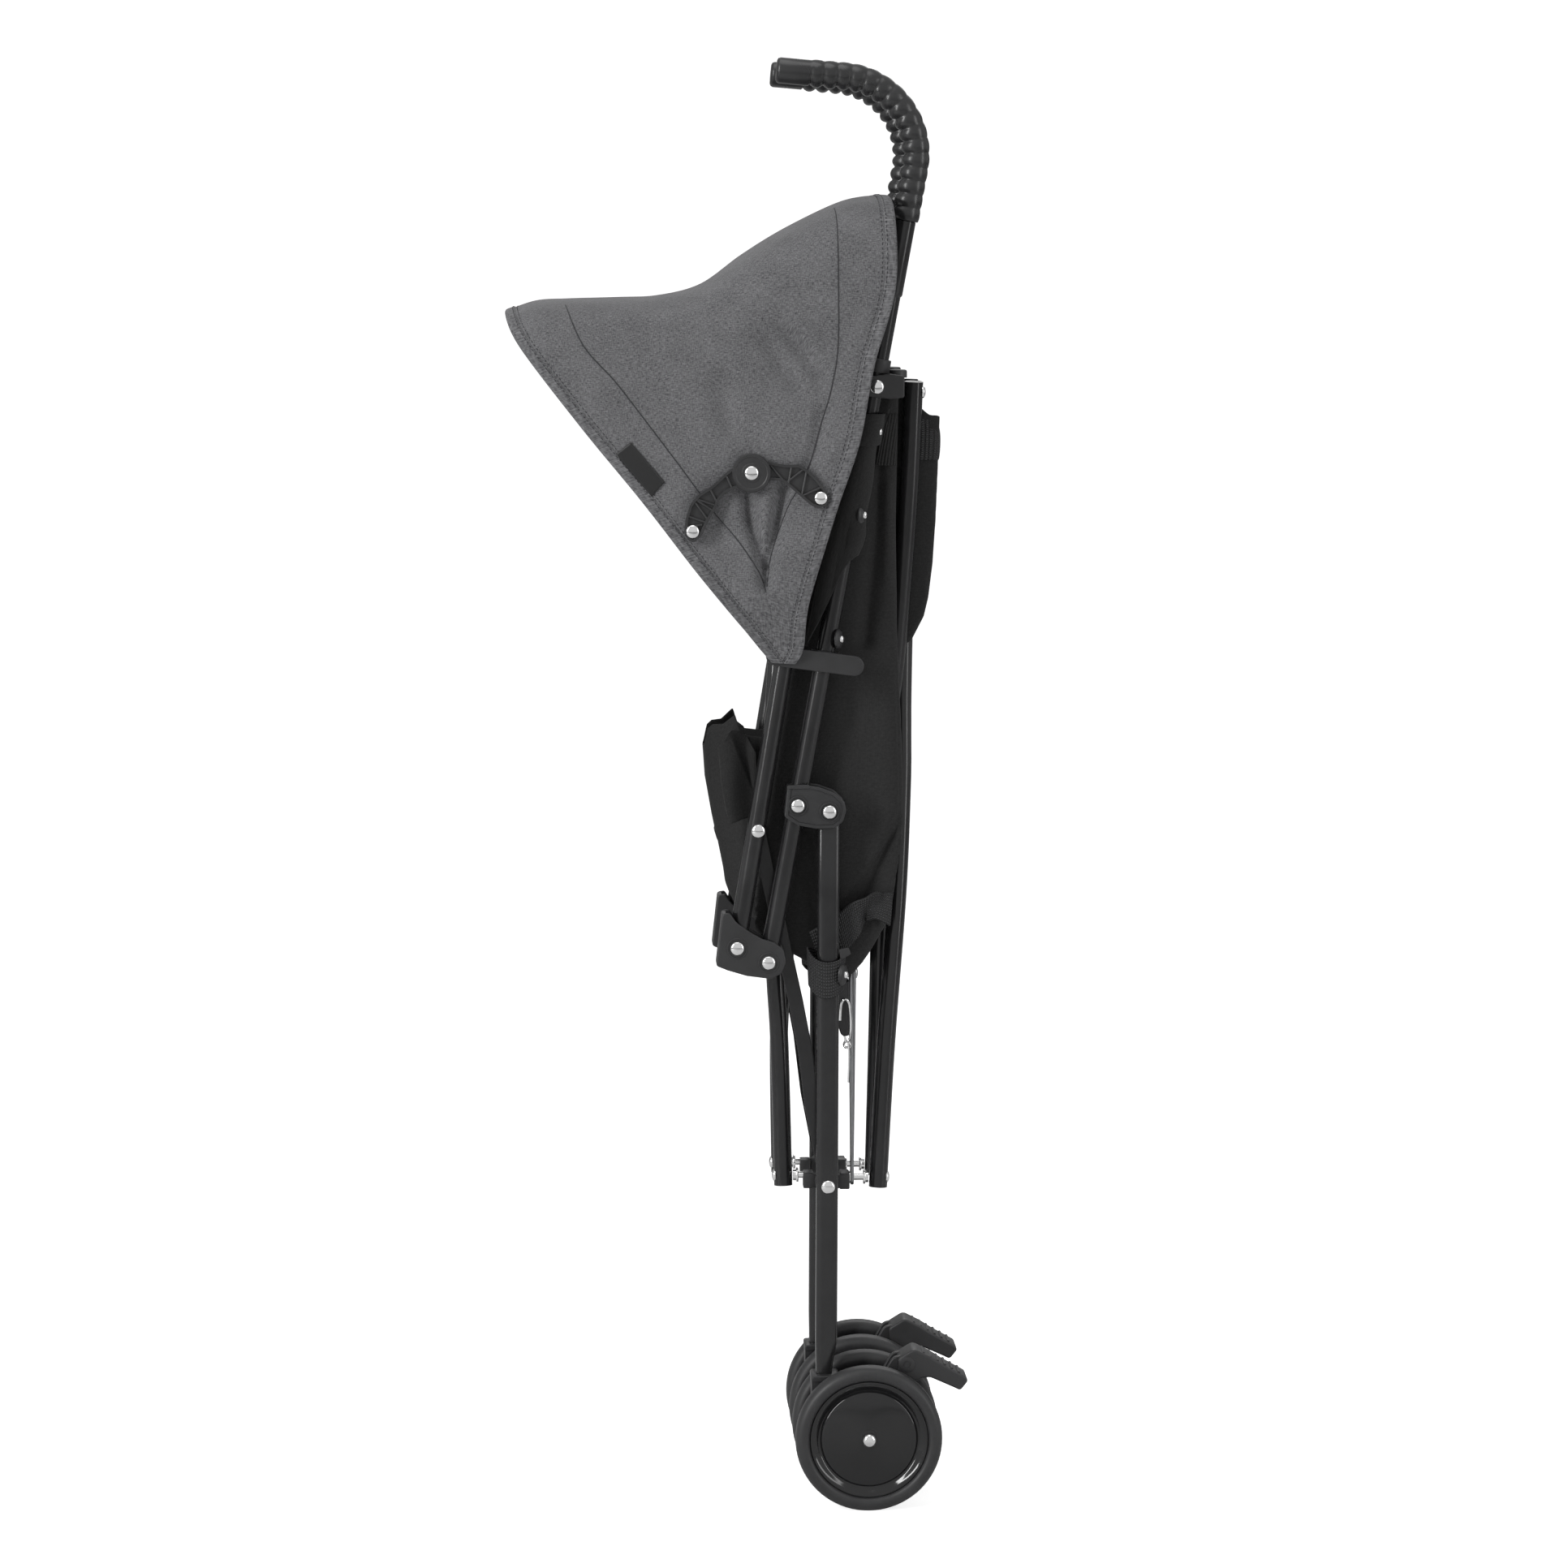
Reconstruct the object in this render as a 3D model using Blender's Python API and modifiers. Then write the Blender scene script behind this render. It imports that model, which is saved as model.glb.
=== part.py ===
"""Lightweight umbrella stroller, folded and standing on its four rear wheels.

Metres, +Z up. X runs from the front of the stroller (-X) to the rear (+X), and Y from its
left side (-Y) to its right side (+Y). The values below are millimetres in the side view,
with X = 0 on the rear leg and Z = 0 on the ground. FRAME_X moves the finished model so that
its origin is at the middle of its footprint.
"""
import math

import bmesh
import bpy
from mathutils import Matrix, Vector

MM = 0.001

# Driving dimensions, in millimetres
FRAME_X = 64.8                    # from the rear leg's axis back to the middle of the model
HALF_TRACK = 50.0                 # from the middle to the plane of each side's tubes, folded
TUBE_R = 7.1                      # push tubes and front legs
SLEEVE_R = 8.2                    # thicker upper end of the push tube, under the grip
CROSS_R = 7.0                     # tubes of the two folding crosses
LEG_WIDE, LEG_DEEP = 16.6, 12.0   # the oval rear leg
PIN_R = 2.5
PIN_HOLE_R = 2.9
HEAD_R = 5.2
PLATE_OUT = 10.6                  # outer face of a bracket's plates, from the tubes' plane
PLATE_IN = 7.9                    # inner face of the same plates
CROSS_DEPTH = 25.0                # from the middle to the pivots of the crosses
LINK_DEPTH = (36.2, 38.9)         # the side link's two faces, from the middle
BAR_T = 2.4                       # thickness of the lock's two flat bars
GAP = 0.35                        # running gap between two pieces that touch

# Pivots of the side view, in millimetres
PUSH_FOOT = (-43.5, 415.5)        # front leg's knee turns here on the push tube
KNEE_RIVET = (-67.0, 426.5)
LINK_TOP = (-51.0, 514.5)
BRACKET_RIVET = (-21.7, 533.7)
LEG_TOP = (2.0, 529.0)            # rear leg turns here
HUB = (1.5, 243.5)                # cross tubes and side link meet the rear leg here
TOP_CLEVIS = (36.7, 845.0)
FRONT_CLEVIS = (-7.7, 785.9)
REAR_CROSS_TOP = (66.5, 840.0)
REAR_CROSS_FOOT = (41.0, 245.0)
FRONT_CROSS_TOP = (-28.7, 785.9)
FRONT_CROSS_FOOT = (-31.0, 247.0)
CROSSING_Z = 543.0

# Directions of the two leaning tubes, upwards
PUSH_LEAN = math.radians(10.4)
FRONT_LEAN = math.radians(9.37)

# Wheels
WHEEL_R = 55.5
WHEEL_STEPS = 20
WHEEL_WIDE = 19.0
TWIN_OFFSET = 25.5                # from the leg's plane to the middle of each twin wheel
AXLE_R = 3.6
AXLE_HOLE_R = 4.1
AXLE_X = 31.3
AXLE_Z = WHEEL_R * math.cos(math.pi / WHEEL_STEPS)   # the wheel stands on a flat facet
CASTER_ALONG = 436.0              # along the front leg from the knee rivet to the axle
CASTER_TRAIL = 34.0

SIDES = (("left", -1.0), ("right", 1.0))


def direction(lean):
    return (math.sin(lean), math.cos(lean))


PUSH_UP = direction(PUSH_LEAN)
FRONT_UP = direction(FRONT_LEAN)


def along(start, way, distance, aside=0.0):
    """A point of the side view, distance along way from start and aside to its left."""
    return (start[0] + way[0] * distance - way[1] * aside,
            start[1] + way[1] * distance + way[0] * aside)


def at(point, y):
    """A side-view point in millimetres, at depth y, as a vector in metres."""
    return Vector((point[0], y, point[1])) * MM


def clear_scene():
    for obj in list(bpy.data.objects):
        bpy.data.objects.remove(obj, do_unlink=True)


def collection(name):
    made = bpy.data.collections.new(name)
    bpy.context.scene.collection.children.link(made)
    return made


def material(name, colour, roughness, metallic=0.0):
    made = bpy.data.materials.new(name)
    made.use_nodes = True
    shader = made.node_tree.nodes["Principled BSDF"]
    shader.inputs["Base Color"].default_value = (*colour, 1.0)
    shader.inputs["Roughness"].default_value = roughness
    shader.inputs["Metallic"].default_value = metallic
    return made


# Making and joining solids

def link(obj, where):
    where.objects.link(obj)
    return obj


def as_mesh(obj):
    """The evaluated object as a plain mesh object with welded caps; the first one is removed."""
    graph = bpy.context.evaluated_depsgraph_get()
    graph.update()
    mesh = bpy.data.meshes.new_from_object(obj.evaluated_get(graph))
    mesh.transform(obj.matrix_world)
    weld(mesh)
    made = bpy.data.objects.new(obj.name + "_solid", mesh)
    where = obj.users_collection[0]
    bpy.data.objects.remove(obj, do_unlink=True)
    return link(made, where)


def weld(mesh):
    work = bmesh.new()
    work.from_mesh(mesh)
    bmesh.ops.remove_doubles(work, verts=work.verts, dist=4e-6)
    bmesh.ops.dissolve_degenerate(work, edges=work.edges, dist=4e-6)
    bmesh.ops.recalc_face_normals(work, faces=work.faces)
    work.to_mesh(mesh)
    work.free()


def combine(target, other, operation):
    """Apply one Boolean to a mesh object and remove the other."""
    step = target.modifiers.new(operation.lower(), "BOOLEAN")
    step.operation = operation
    step.solver = "EXACT"
    step.object = other
    bpy.context.view_layer.update()
    made = as_mesh(target)
    bpy.data.objects.remove(other, do_unlink=True)
    return made


def cut(target, *others):
    for other in others:
        target = combine(target, other, "DIFFERENCE")
    return target


def join(target, *others):
    for other in others:
        target = combine(target, other, "UNION")
    return target


def tube(points, radius, resolution=2, scales=None):
    """A round tube through points in metres, with filled caps."""
    curve = bpy.data.curves.new("tube", "CURVE")
    curve.dimensions = "3D"
    curve.bevel_depth = radius * MM
    curve.bevel_resolution = resolution
    curve.use_fill_caps = True
    spline = curve.splines.new("POLY")
    spline.points.add(len(points) - 1)
    for index, point in enumerate(points):
        spline.points[index].co = (*point, 1.0)
        spline.points[index].radius = scales[index] if scales else 1.0
    return as_mesh(link(bpy.data.objects.new("tube", curve), WORK))


def rounded(corners):
    """An outline from (x, z, radius) corners, with an arc at each corner that has a radius."""
    points = []
    count = len(corners)
    for index, (x, z, radius) in enumerate(corners):
        here = Vector((x, z))
        if not radius:
            points.append((x, z))
            continue
        before = Vector(corners[index - 1][:2]) - here
        after = Vector(corners[(index + 1) % count][:2]) - here
        before.normalize()
        after.normalize()
        half = before.angle(after) / 2
        reach = radius / math.tan(half)
        middle = here + (before + after).normalized() * (radius / math.sin(half))
        first = here + before * reach - middle
        last = here + after * reach - middle
        turn = first.angle_signed(last)
        steps = 1 if radius < 3 else 2
        for step in range(steps + 1):
            spoke = first.copy()
            spoke.rotate(Matrix.Rotation(-turn * step / steps, 2))
            points.append(tuple(middle + spoke))
    return points


def disc(centre, radius, steps=12):
    return [(centre[0] + radius * math.cos(2 * math.pi * k / steps),
             centre[1] + radius * math.sin(2 * math.pi * k / steps)) for k in range(steps)]


def strip(points, wide, end_steps=4):
    """The outline of a flat bar of even width along a path, with round ends."""
    half = wide / 2
    ways = [(Vector(b) - Vector(a)).normalized() for a, b in zip(points, points[1:])]
    left, right = [], []
    for index, point in enumerate(points):
        near = ways[max(index - 1, 0)]
        far = ways[min(index, len(ways) - 1)]
        middle = (near + far).normalized()
        side = Vector((-middle.y, middle.x)) * (half / max(middle.dot(near), 0.5))
        left.append(Vector(point) + side)
        right.append(Vector(point) - side)

    def cap(centre, way, sign):
        start = math.atan2(way.x * sign, -way.y * sign)
        return [Vector(centre) + half * Vector((math.cos(start - math.pi * k / end_steps),
                                                math.sin(start - math.pi * k / end_steps)))
                for k in range(1, end_steps)]

    outline = left + cap(points[-1], ways[-1], 1) + right[::-1] + cap(points[0], ways[0], -1)
    return [tuple(point) for point in outline]


def plate(outline, y_low, y_high, edge=0.0):
    """A flat outline of the side view, between two depths in millimetres."""
    curve = bpy.data.curves.new("plate", "CURVE")
    curve.dimensions = "2D"
    curve.fill_mode = "BOTH"
    curve.extrude = (abs(y_high - y_low) / 2 - edge) * MM
    curve.bevel_depth = edge * MM
    curve.bevel_resolution = 0
    curve.offset = -edge * MM
    spline = curve.splines.new("POLY")
    spline.points.add(len(outline) - 1)
    for index, point in enumerate(outline):
        spline.points[index].co = (point[0] * MM, point[1] * MM, 0.0, 1.0)
    spline.use_cyclic_u = True
    obj = link(bpy.data.objects.new("plate", curve), WORK)
    obj.rotation_euler = (math.pi / 2, 0.0, 0.0)
    obj.location = (0.0, (y_low + y_high) / 2 * MM, 0.0)
    bpy.context.view_layer.update()
    return as_mesh(obj)


def rod(start, end, radius, steps=10):
    """A plain round bar between two points in millimetres."""
    start, end = Vector(start), Vector(end)
    way = end - start
    bpy.ops.mesh.primitive_cylinder_add(vertices=steps, radius=radius * MM,
                                        depth=way.length * MM, end_fill_type="NGON")
    obj = bpy.context.object
    obj.rotation_euler = way.to_track_quat("Z", "Y").to_euler()
    obj.location = (start + end) / 2 * MM
    for owner in list(obj.users_collection):
        owner.objects.unlink(obj)
    link(obj, WORK)
    bpy.context.view_layer.update()
    return as_mesh(obj)


def across(point, y_from, y_to, radius, steps=10):
    """A pin through the side view at one point."""
    return rod((point[0], y_from, point[1]), (point[0], y_to, point[1]), radius, steps)


def lengthwise(x_from, x_to, y, z, radius, steps=10):
    """A bolt that runs from front to rear."""
    return rod((x_from, y, z), (x_to, y, z), radius, steps)


def block(x_low, x_high, y_low, y_high, z_low, z_high, edge=0.0):
    """A box, with its edges bevelled where an edge width is given."""
    bpy.ops.mesh.primitive_cube_add(size=1.0)
    obj = bpy.context.object
    size = Vector((x_high - x_low, abs(y_high - y_low), z_high - z_low)) * MM
    obj.data.transform(Matrix.Diagonal((*size, 1.0)))
    obj.location = Vector((x_low + x_high, y_low + y_high, z_low + z_high)) * MM / 2
    if edge:
        step = obj.modifiers.new("edges", "BEVEL")
        step.width = edge * MM
        step.segments = 1
    for owner in list(obj.users_collection):
        owner.objects.unlink(obj)
    link(obj, WORK)
    bpy.context.view_layer.update()
    return as_mesh(obj)


def turned(profile, centre, y_sign, steps, start=0.0):
    """A closed (radius, depth) profile turned about the depth axis; depth grows outwards."""
    mesh = bpy.data.meshes.new("turned")
    verts = [(r * MM, 0.0, a * MM) for r, a in profile]
    edges = [(k, (k + 1) % len(verts)) for k in range(len(verts))]
    mesh.from_pydata(verts, edges, [])
    obj = link(bpy.data.objects.new("turned", mesh), WORK)
    step = obj.modifiers.new("turn", "SCREW")
    step.axis = "Z"
    step.steps = steps
    step.render_steps = steps
    step.use_merge_vertices = True
    step.merge_threshold = 1e-6
    obj.rotation_euler = (-y_sign * math.pi / 2, start, 0.0)
    obj.rotation_mode = "XYZ"
    obj.location = centre
    bpy.context.view_layer.update()
    return as_mesh(obj)


def loft(sections):
    """A solid through rings of equal counts, in metres, closed by a face at each end."""
    work = bmesh.new()
    rings = [[work.verts.new(point) for point in ring] for ring in sections]
    work.faces.new(rings[0][::-1])
    work.faces.new(rings[-1])
    for low, high in zip(rings, rings[1:]):
        for k in range(len(low)):
            nxt = (k + 1) % len(low)
            work.faces.new((low[k], low[nxt], high[nxt], high[k]))
    bmesh.ops.recalc_face_normals(work, faces=work.faces)
    mesh = bpy.data.meshes.new("loft")
    work.to_mesh(mesh)
    work.free()
    return link(bpy.data.objects.new("loft", mesh), WORK)


def node(obj, name, finish, pivot):
    """Name a finished solid, give it its material, and put its origin on its joint's axis."""
    mesh = obj.data
    mesh.transform(obj.matrix_world)
    obj.matrix_world = Matrix.Identity(4)
    mesh.transform(Matrix.Translation(-pivot))
    mesh.materials.clear()
    mesh.materials.append(MATERIALS[finish])
    for face in mesh.polygons:
        face.material_index = 0
    mesh.shade_smooth()
    mesh.set_sharp_from_angle(angle=math.radians(35))
    mesh.name = name
    obj.name = name
    obj.location = pivot
    obj.parent = FRAME
    WORK.objects.unlink(obj)
    PARTS.objects.link(obj)
    return obj


# The pieces of one side; s is -1 on the left and +1 on the right

def bracket_span(s):
    """The two outer faces of a bracket, from the inside out."""
    return s * (HALF_TRACK - PLATE_OUT), s * (HALF_TRACK + PLATE_OUT)


def slot_span(s):
    return s * (HALF_TRACK - PLATE_IN), s * (HALF_TRACK + PLATE_IN)


def rivet_head(point, s, tall=1.7):
    """The outer head of a rivet on a bracket."""
    face = HALF_TRACK + PLATE_OUT
    return across(point, s * (face - 1.0), s * (face + tall), HEAD_R)


def push_tube(side, s):
    """The long leaning tube from the knee to inside the grip, with its upper sleeve."""
    y = s * HALF_TRACK
    step_at, grip_at = 505.8, 560.5
    stations = [(-9.0, 1.0), (step_at, 1.0), (step_at + 0.5, SLEEVE_R / TUBE_R),
                (grip_at - 1.0, SLEEVE_R / TUBE_R), (grip_at - 0.5, 1.0), (grip_at + 24.0, 1.0)]
    points = [at(along(PUSH_FOOT, PUSH_UP, distance), y) for distance, _ in stations]
    solid = tube(points, TUBE_R, 3, [scale for _, scale in stations])
    solid = cut(solid, across(PUSH_FOOT, s * 40.0, s * 60.0, PIN_HOLE_R))
    inner, outer = bracket_span(s)
    solid = join(solid,
                 across(TOP_CLEVIS, inner - s * 1.2, outer + s * 1.2, PIN_R),
                 across(TOP_CLEVIS, inner - s * 1.9, inner - s * GAP, HEAD_R),
                 across(TOP_CLEVIS, outer + s * GAP, outer + s * 1.9, HEAD_R))
    return node(solid, f"{side}_push_tube", "frame", at(PUSH_FOOT, y))


GRIP_BEADS = 16
GRIP_BEAD_PITCH = 10.0
GRIP_BEND_R = 57.0
GRIP_FOOT_RUN = 39.0
GRIP_TOP_RUN = 51.0
GRIP_END_RISE = math.radians(5.0)
GRIP_R = 10.4
GRIP_VALLEY = 0.87


def grip_path(distance):
    """A point of the grip's axis: a short straight, a bend of about 95 degrees, a straight."""
    foot = along(PUSH_FOOT, PUSH_UP, 560.5)
    if distance <= GRIP_FOOT_RUN:
        return along(foot, PUSH_UP, distance)
    bend_start = along(foot, PUSH_UP, GRIP_FOOT_RUN)
    centre = along(bend_start, PUSH_UP, 0.0, GRIP_BEND_R)
    whole = math.pi / 2 + PUSH_LEAN - GRIP_END_RISE
    turn = min((distance - GRIP_FOOT_RUN) / GRIP_BEND_R, whole)
    angle = -PUSH_LEAN + turn
    point = (centre[0] + GRIP_BEND_R * math.cos(angle), centre[1] + GRIP_BEND_R * math.sin(angle))
    rest = distance - GRIP_FOOT_RUN - whole * GRIP_BEND_R
    if rest <= 0:
        return point
    return (point[0] - math.cos(GRIP_END_RISE) * rest, point[1] + math.sin(GRIP_END_RISE) * rest)


def handle_grip(side, s):
    """The soft grip: a row of beads round the bend and a plain end."""
    y = s * HALF_TRACK
    length = GRIP_FOOT_RUN + GRIP_BEND_R * (math.pi / 2 + PUSH_LEAN - GRIP_END_RISE) + GRIP_TOP_RUN
    stations = [(0.0, GRIP_VALLEY)]
    for bead in range(GRIP_BEADS):
        start = bead * GRIP_BEAD_PITCH
        stations += [(start + GRIP_BEAD_PITCH / 2, 1.0), (start + GRIP_BEAD_PITCH, GRIP_VALLEY)]
    stations += [(length - 1.5, GRIP_VALLEY), (length, GRIP_VALLEY - 0.08)]
    points = [at(grip_path(distance), y) for distance, _ in stations]
    solid = tube(points, GRIP_R, 2, [scale for _, scale in stations])
    bore_from = along(PUSH_FOOT, PUSH_UP, 555.0)
    bore_to = along(PUSH_FOOT, PUSH_UP, 585.5)
    solid = cut(solid, rod((bore_from[0], y, bore_from[1]), (bore_to[0], y, bore_to[1]), TUBE_R + 0.4))
    return node(solid, f"{side}_handle_grip", "grip", at(grip_path(0.0), y))


BRACKET_OUTLINE = [(-29.3, 548.7, 3), (-18.0, 549.6, 0), (-6.0, 547.9, 0), (6.0, 543.5, 0),
                   (13.0, 537.0, 3), (14.6, 530.0, 3), (12.0, 521.5, 3), (5.5, 516.6, 3),
                   (-8.0, 516.3, 0), (-22.0, 519.0, 0), (-31.8, 525.5, 3)]


def pivot_bracket(side, s):
    """The moulded bracket that is riveted round the push tube and carries the rear leg."""
    inner, outer = bracket_span(s)
    solid = plate(rounded(BRACKET_OUTLINE), inner, outer, 0.8)
    low_in, high_in = slot_span(s)
    foot = along(PUSH_FOOT, PUSH_UP, 80.0, TUBE_R + 0.5)
    head = along(PUSH_FOOT, PUSH_UP, 160.0, TUBE_R + 0.5)
    slot = [foot, (60.0, foot[1]), (60.0, head[1]), head]
    solid = cut(solid, plate(slot, low_in, high_in))
    solid = join(solid, across(LEG_TOP, inner + s, outer - s, PIN_R),
                 rivet_head(LEG_TOP, s), rivet_head(BRACKET_RIVET, s))
    return node(solid, f"{side}_pivot_bracket", "plastic", at(LEG_TOP, s * HALF_TRACK))


def oval(centre_x, y, z, wide, deep, steps=14):
    """One ring of the flat-sided oval tube."""
    ring = []
    for k in range(steps):
        angle = 2 * math.pi * (k + 0.5) / steps
        c, q = math.cos(angle), math.sin(angle)
        reach = (abs(c) ** 2.6 + abs(q) ** 2.6) ** (-1 / 2.6)
        ring.append(Vector((centre_x + wide / 2 * c * reach, y + deep / 2 * q * reach, z)) * MM)
    return ring


LEG_FOOT_Z = 62.0


def rear_leg(side, s):
    """The oval rear leg, flattened where it enters the axle housing, with its hub pin."""
    y = s * HALF_TRACK
    stations = [(2.0, 537.5, LEG_WIDE, LEG_DEEP), (0.3, 124.0, LEG_WIDE, LEG_DEEP),
                (-1.4, 104.0, 12.6, LEG_DEEP), (-1.6, LEG_FOOT_Z, 12.0, LEG_DEEP)]
    solid = loft([oval(x, y, z, wide, deep) for x, z, wide, deep in stations])
    solid = cut(solid, across(LEG_TOP, s * 40.0, s * 60.0, PIN_HOLE_R))
    inner_face = HALF_TRACK - LEG_DEEP / 2
    outer_face = HALF_TRACK + LEG_DEEP / 2
    solid = join(solid, across(HUB, s * 25.4, s * (inner_face + 2.0), 3.0),
                 across(HUB, s * 24.8, s * 26.8, HEAD_R),
                 across(HUB, s * (outer_face - 1.0), s * (outer_face + 1.7), HEAD_R))
    return node(solid, f"{side}_rear_leg", "frame", at(LEG_TOP, y))


BRAKE_PIVOT = (44.5, 82.0)
HOUSING_OUTLINE = [(-11.0, 99.0, 2), (8.5, 99.0, 3), (18.0, 82.0, 6), (34.0, 80.0, 6), (38.5, 90.0, 4),
                   (50.5, 90.0, 4), (51.5, 76.0, 6), (41.5, 62.0, 5), (43.5, 50.0, 6), (34.0, 42.5, 6),
                   (20.0, 44.5, 8), (2.0, 55.0, 8), (-11.0, 60.0, 4)]


def axle_housing(side, s):
    """The moulded foot: a socket for the leg, the axle, and the brake's ear."""
    y = s * HALF_TRACK
    solid = plate(rounded(HOUSING_OUTLINE), y - 12.0, y + 12.0, 0.8)
    socket = loft([oval(-1.5, y, z, 13.4, LEG_DEEP + 0.8, 12) for z in (LEG_FOOT_Z - 0.4, 120.0)])
    solid = cut(solid, socket,
                block(36.5, 60.0, y + 4.0, y + 20.0, 68.0, 100.0),
                block(36.5, 60.0, y - 20.0, y - 4.0, 68.0, 100.0))
    axle = (AXLE_X, AXLE_Z)
    solid = join(solid, across(axle, y - 36.2, y + 36.2, AXLE_R),
                 across(axle, y - 37.4, y - 35.7, 5.2), across(axle, y + 35.7, y + 37.4, 5.2),
                 across(BRAKE_PIVOT, y - 10.5, y + 10.5, PIN_R))
    return node(solid, f"{side}_axle_housing", "plastic", at(axle, y))


WHEEL_PROFILE = [(AXLE_HOLE_R, -7.5), (AXLE_HOLE_R, 8.6), (12.0, 8.4), (30.0, 5.4), (36.0, 2.4), (45.5, 9.3),
                 (51.5, 9.3), (WHEEL_R, 4.4), (WHEEL_R, -4.4), (51.5, -9.3), (43.0, -7.5)]
FRONT_WHEEL_R = 47.0              # smaller, to pass under the canopy as the leg swings out
FRONT_WHEEL_PROFILE = [(AXLE_HOLE_R, -7.5), (AXLE_HOLE_R, 8.6), (29.0, 2.4), (38.0, 9.3), (43.0, 9.3),
                       (FRONT_WHEEL_R, 4.4), (FRONT_WHEEL_R, -4.4), (43.0, -9.3), (35.0, -7.5)]


def wheel(name, centre, out, profile, steps):
    """One twin wheel: a tyre on a dished rim, its dish facing away from its twin."""
    solid = turned(profile[::-1], centre, out, steps, math.pi / steps)
    return node(solid, name, "tyre", centre)


BRAKE_OUTLINE = [(38.0, 84.0, 0), (38.0, 77.5, 4), (51.0, 76.0, 4), (56.0, 84.0, 3), (62.0, 91.0, 0),
                 (72.5, 96.5, 3), (78.5, 97.3, 3), (97.0, 89.0, 0), (101.8, 86.6, 1.5), (107.8, 94.4, 1.5),
                 (106.2, 97.8, 1.5), (66.5, 120.3, 3.5), (58.5, 115.5, 3), (50.5, 112.5, 4), (41.0, 96.0, 6)]


def brake_lever(side, s):
    """The foot brake: a forked arm on the housing's ear and a ridged pedal behind it."""
    y = s * HALF_TRACK
    solid = plate(rounded(BRAKE_OUTLINE), y - 13.0, y + 13.0, 0.8)
    solid = cut(solid,
                block(30.0, 56.0, y - 4.5, y + 4.5, 60.0, 100.0),
                block(30.0, 56.0, y + 9.5, y + 20.0, 60.0, 100.0),
                block(30.0, 56.0, y - 20.0, y - 9.5, 60.0, 100.0),
                across(BRAKE_PIVOT, y - 12.0, y + 12.0, PIN_HOLE_R))
    ridge_way = Vector((106.2 - 66.5, 97.8 - 120.3)).normalized()
    for k in range(6):
        spot = Vector((66.5, 120.3)) + ridge_way * (9.0 + 6.0 * k)
        solid = join(solid, rod((spot.x, y - 11.0, spot.y), (spot.x, y + 11.0, spot.y), 1.1, 6))
    return node(solid, f"{side}_brake_lever", "plastic", at(BRAKE_PIVOT, y))


KNEE_OUTLINE = [(-78.3, 452.6, 2.5), (-72.7, 453.5, 2), (-67.5, 446.0, 4), (-57.5, 439.0, 0), (-48.0, 433.4, 0),
                (-40.0, 431.2, 3), (-32.5, 426.0, 4), (-30.3, 416.0, 4), (-33.5, 407.3, 4), (-42.0, 403.2, 3),
                (-60.0, 405.6, 0), (-74.0, 409.8, 0), (-82.7, 413.3, 2.5)]
KNEE_WALL = 2.2


def knee_bracket(side, s):
    """The knee: two plates joined by a wall at the front, fixed to the front leg."""
    inner, outer = bracket_span(s)
    solid = plate(rounded(KNEE_OUTLINE), inner, outer, 0.8)
    low_in, high_in = slot_span(s)
    wall = [(-79.3 + KNEE_WALL - 0.9, 466.0), (-84.4 + KNEE_WALL + 0.6, 395.0), (0.0, 395.0), (0.0, 466.0)]
    solid = cut(solid, plate(wall, low_in, high_in))
    solid = join(solid, across(PUSH_FOOT, inner + s, outer - s, PIN_R),
                 rivet_head(PUSH_FOOT, s), rivet_head(KNEE_RIVET, s))
    return node(solid, f"{side}_knee_bracket", "plastic", at(PUSH_FOOT, s * HALF_TRACK))


FRONT_LEG_LENGTH = 414.0


def front_leg(side, s):
    """The front leg, folded up beside the push tube, with its two pins."""
    y = s * HALF_TRACK
    points = [at(along(KNEE_RIVET, FRONT_UP, distance), y) for distance in (-9.0, FRONT_LEG_LENGTH)]
    solid = tube(points, TUBE_R, 3)
    bore_from = along(KNEE_RIVET, FRONT_UP, FRONT_LEG_LENGTH - 20.0)
    bore_to = along(KNEE_RIVET, FRONT_UP, FRONT_LEG_LENGTH + 5.0)
    solid = cut(solid, rod((bore_from[0], y, bore_from[1]), (bore_to[0], y, bore_to[1]), 4.6))
    solid = join(solid, across(LINK_TOP, s * 56.5, s * 59.0, HEAD_R),
                 across(LINK_TOP, s * 40.2, s * 43.4, HEAD_R - 0.7),
                 across(FRONT_CLEVIS, s * 29.2, s * 45.0, 3.0),
                 across(FRONT_CLEVIS, s * 28.6, s * 30.8, HEAD_R))
    return node(solid, f"{side}_front_leg", "frame", at(PUSH_FOOT, y))


def caster_housing(side, s):
    """The swivelling foot: a collar and stem on the front leg and an arm to the axle."""
    y = s * HALF_TRACK

    def local(distance, aside):
        return along(KNEE_RIVET, FRONT_UP, distance, aside)

    spots = [(1.0, -10.0, 2), (1.0, 10.0, 2), (7.0, 22.0, 4), (11.0, 36.0, 6), (17.0, 44.0, 6),
             (29.0, 42.0, 8), (34.0, 28.0, 8), (26.0, 4.0, 6), (20.0, -10.0, 4)]
    outline = [(*local(FRONT_LEG_LENGTH + rise, aside), radius) for rise, aside, radius in spots]
    solid = plate(rounded(outline), y - 10.0, y + 10.0, 0.8)
    axle = local(CASTER_ALONG, CASTER_TRAIL)
    stem_from, stem_to = local(FRONT_LEG_LENGTH - 18.0, 0.0), local(FRONT_LEG_LENGTH + 6.0, 0.0)
    solid = join(solid, rod((stem_from[0], y, stem_from[1]), (stem_to[0], y, stem_to[1]), 4.2),
                 across(axle, y - 36.2, y + 36.2, AXLE_R),
                 across(axle, y - 37.4, y - 35.7, 5.2), across(axle, y + 35.7, y + 37.4, 5.2))
    return node(solid, f"{side}_caster_housing", "plastic", at(local(FRONT_LEG_LENGTH, 0.0), y))


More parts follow.
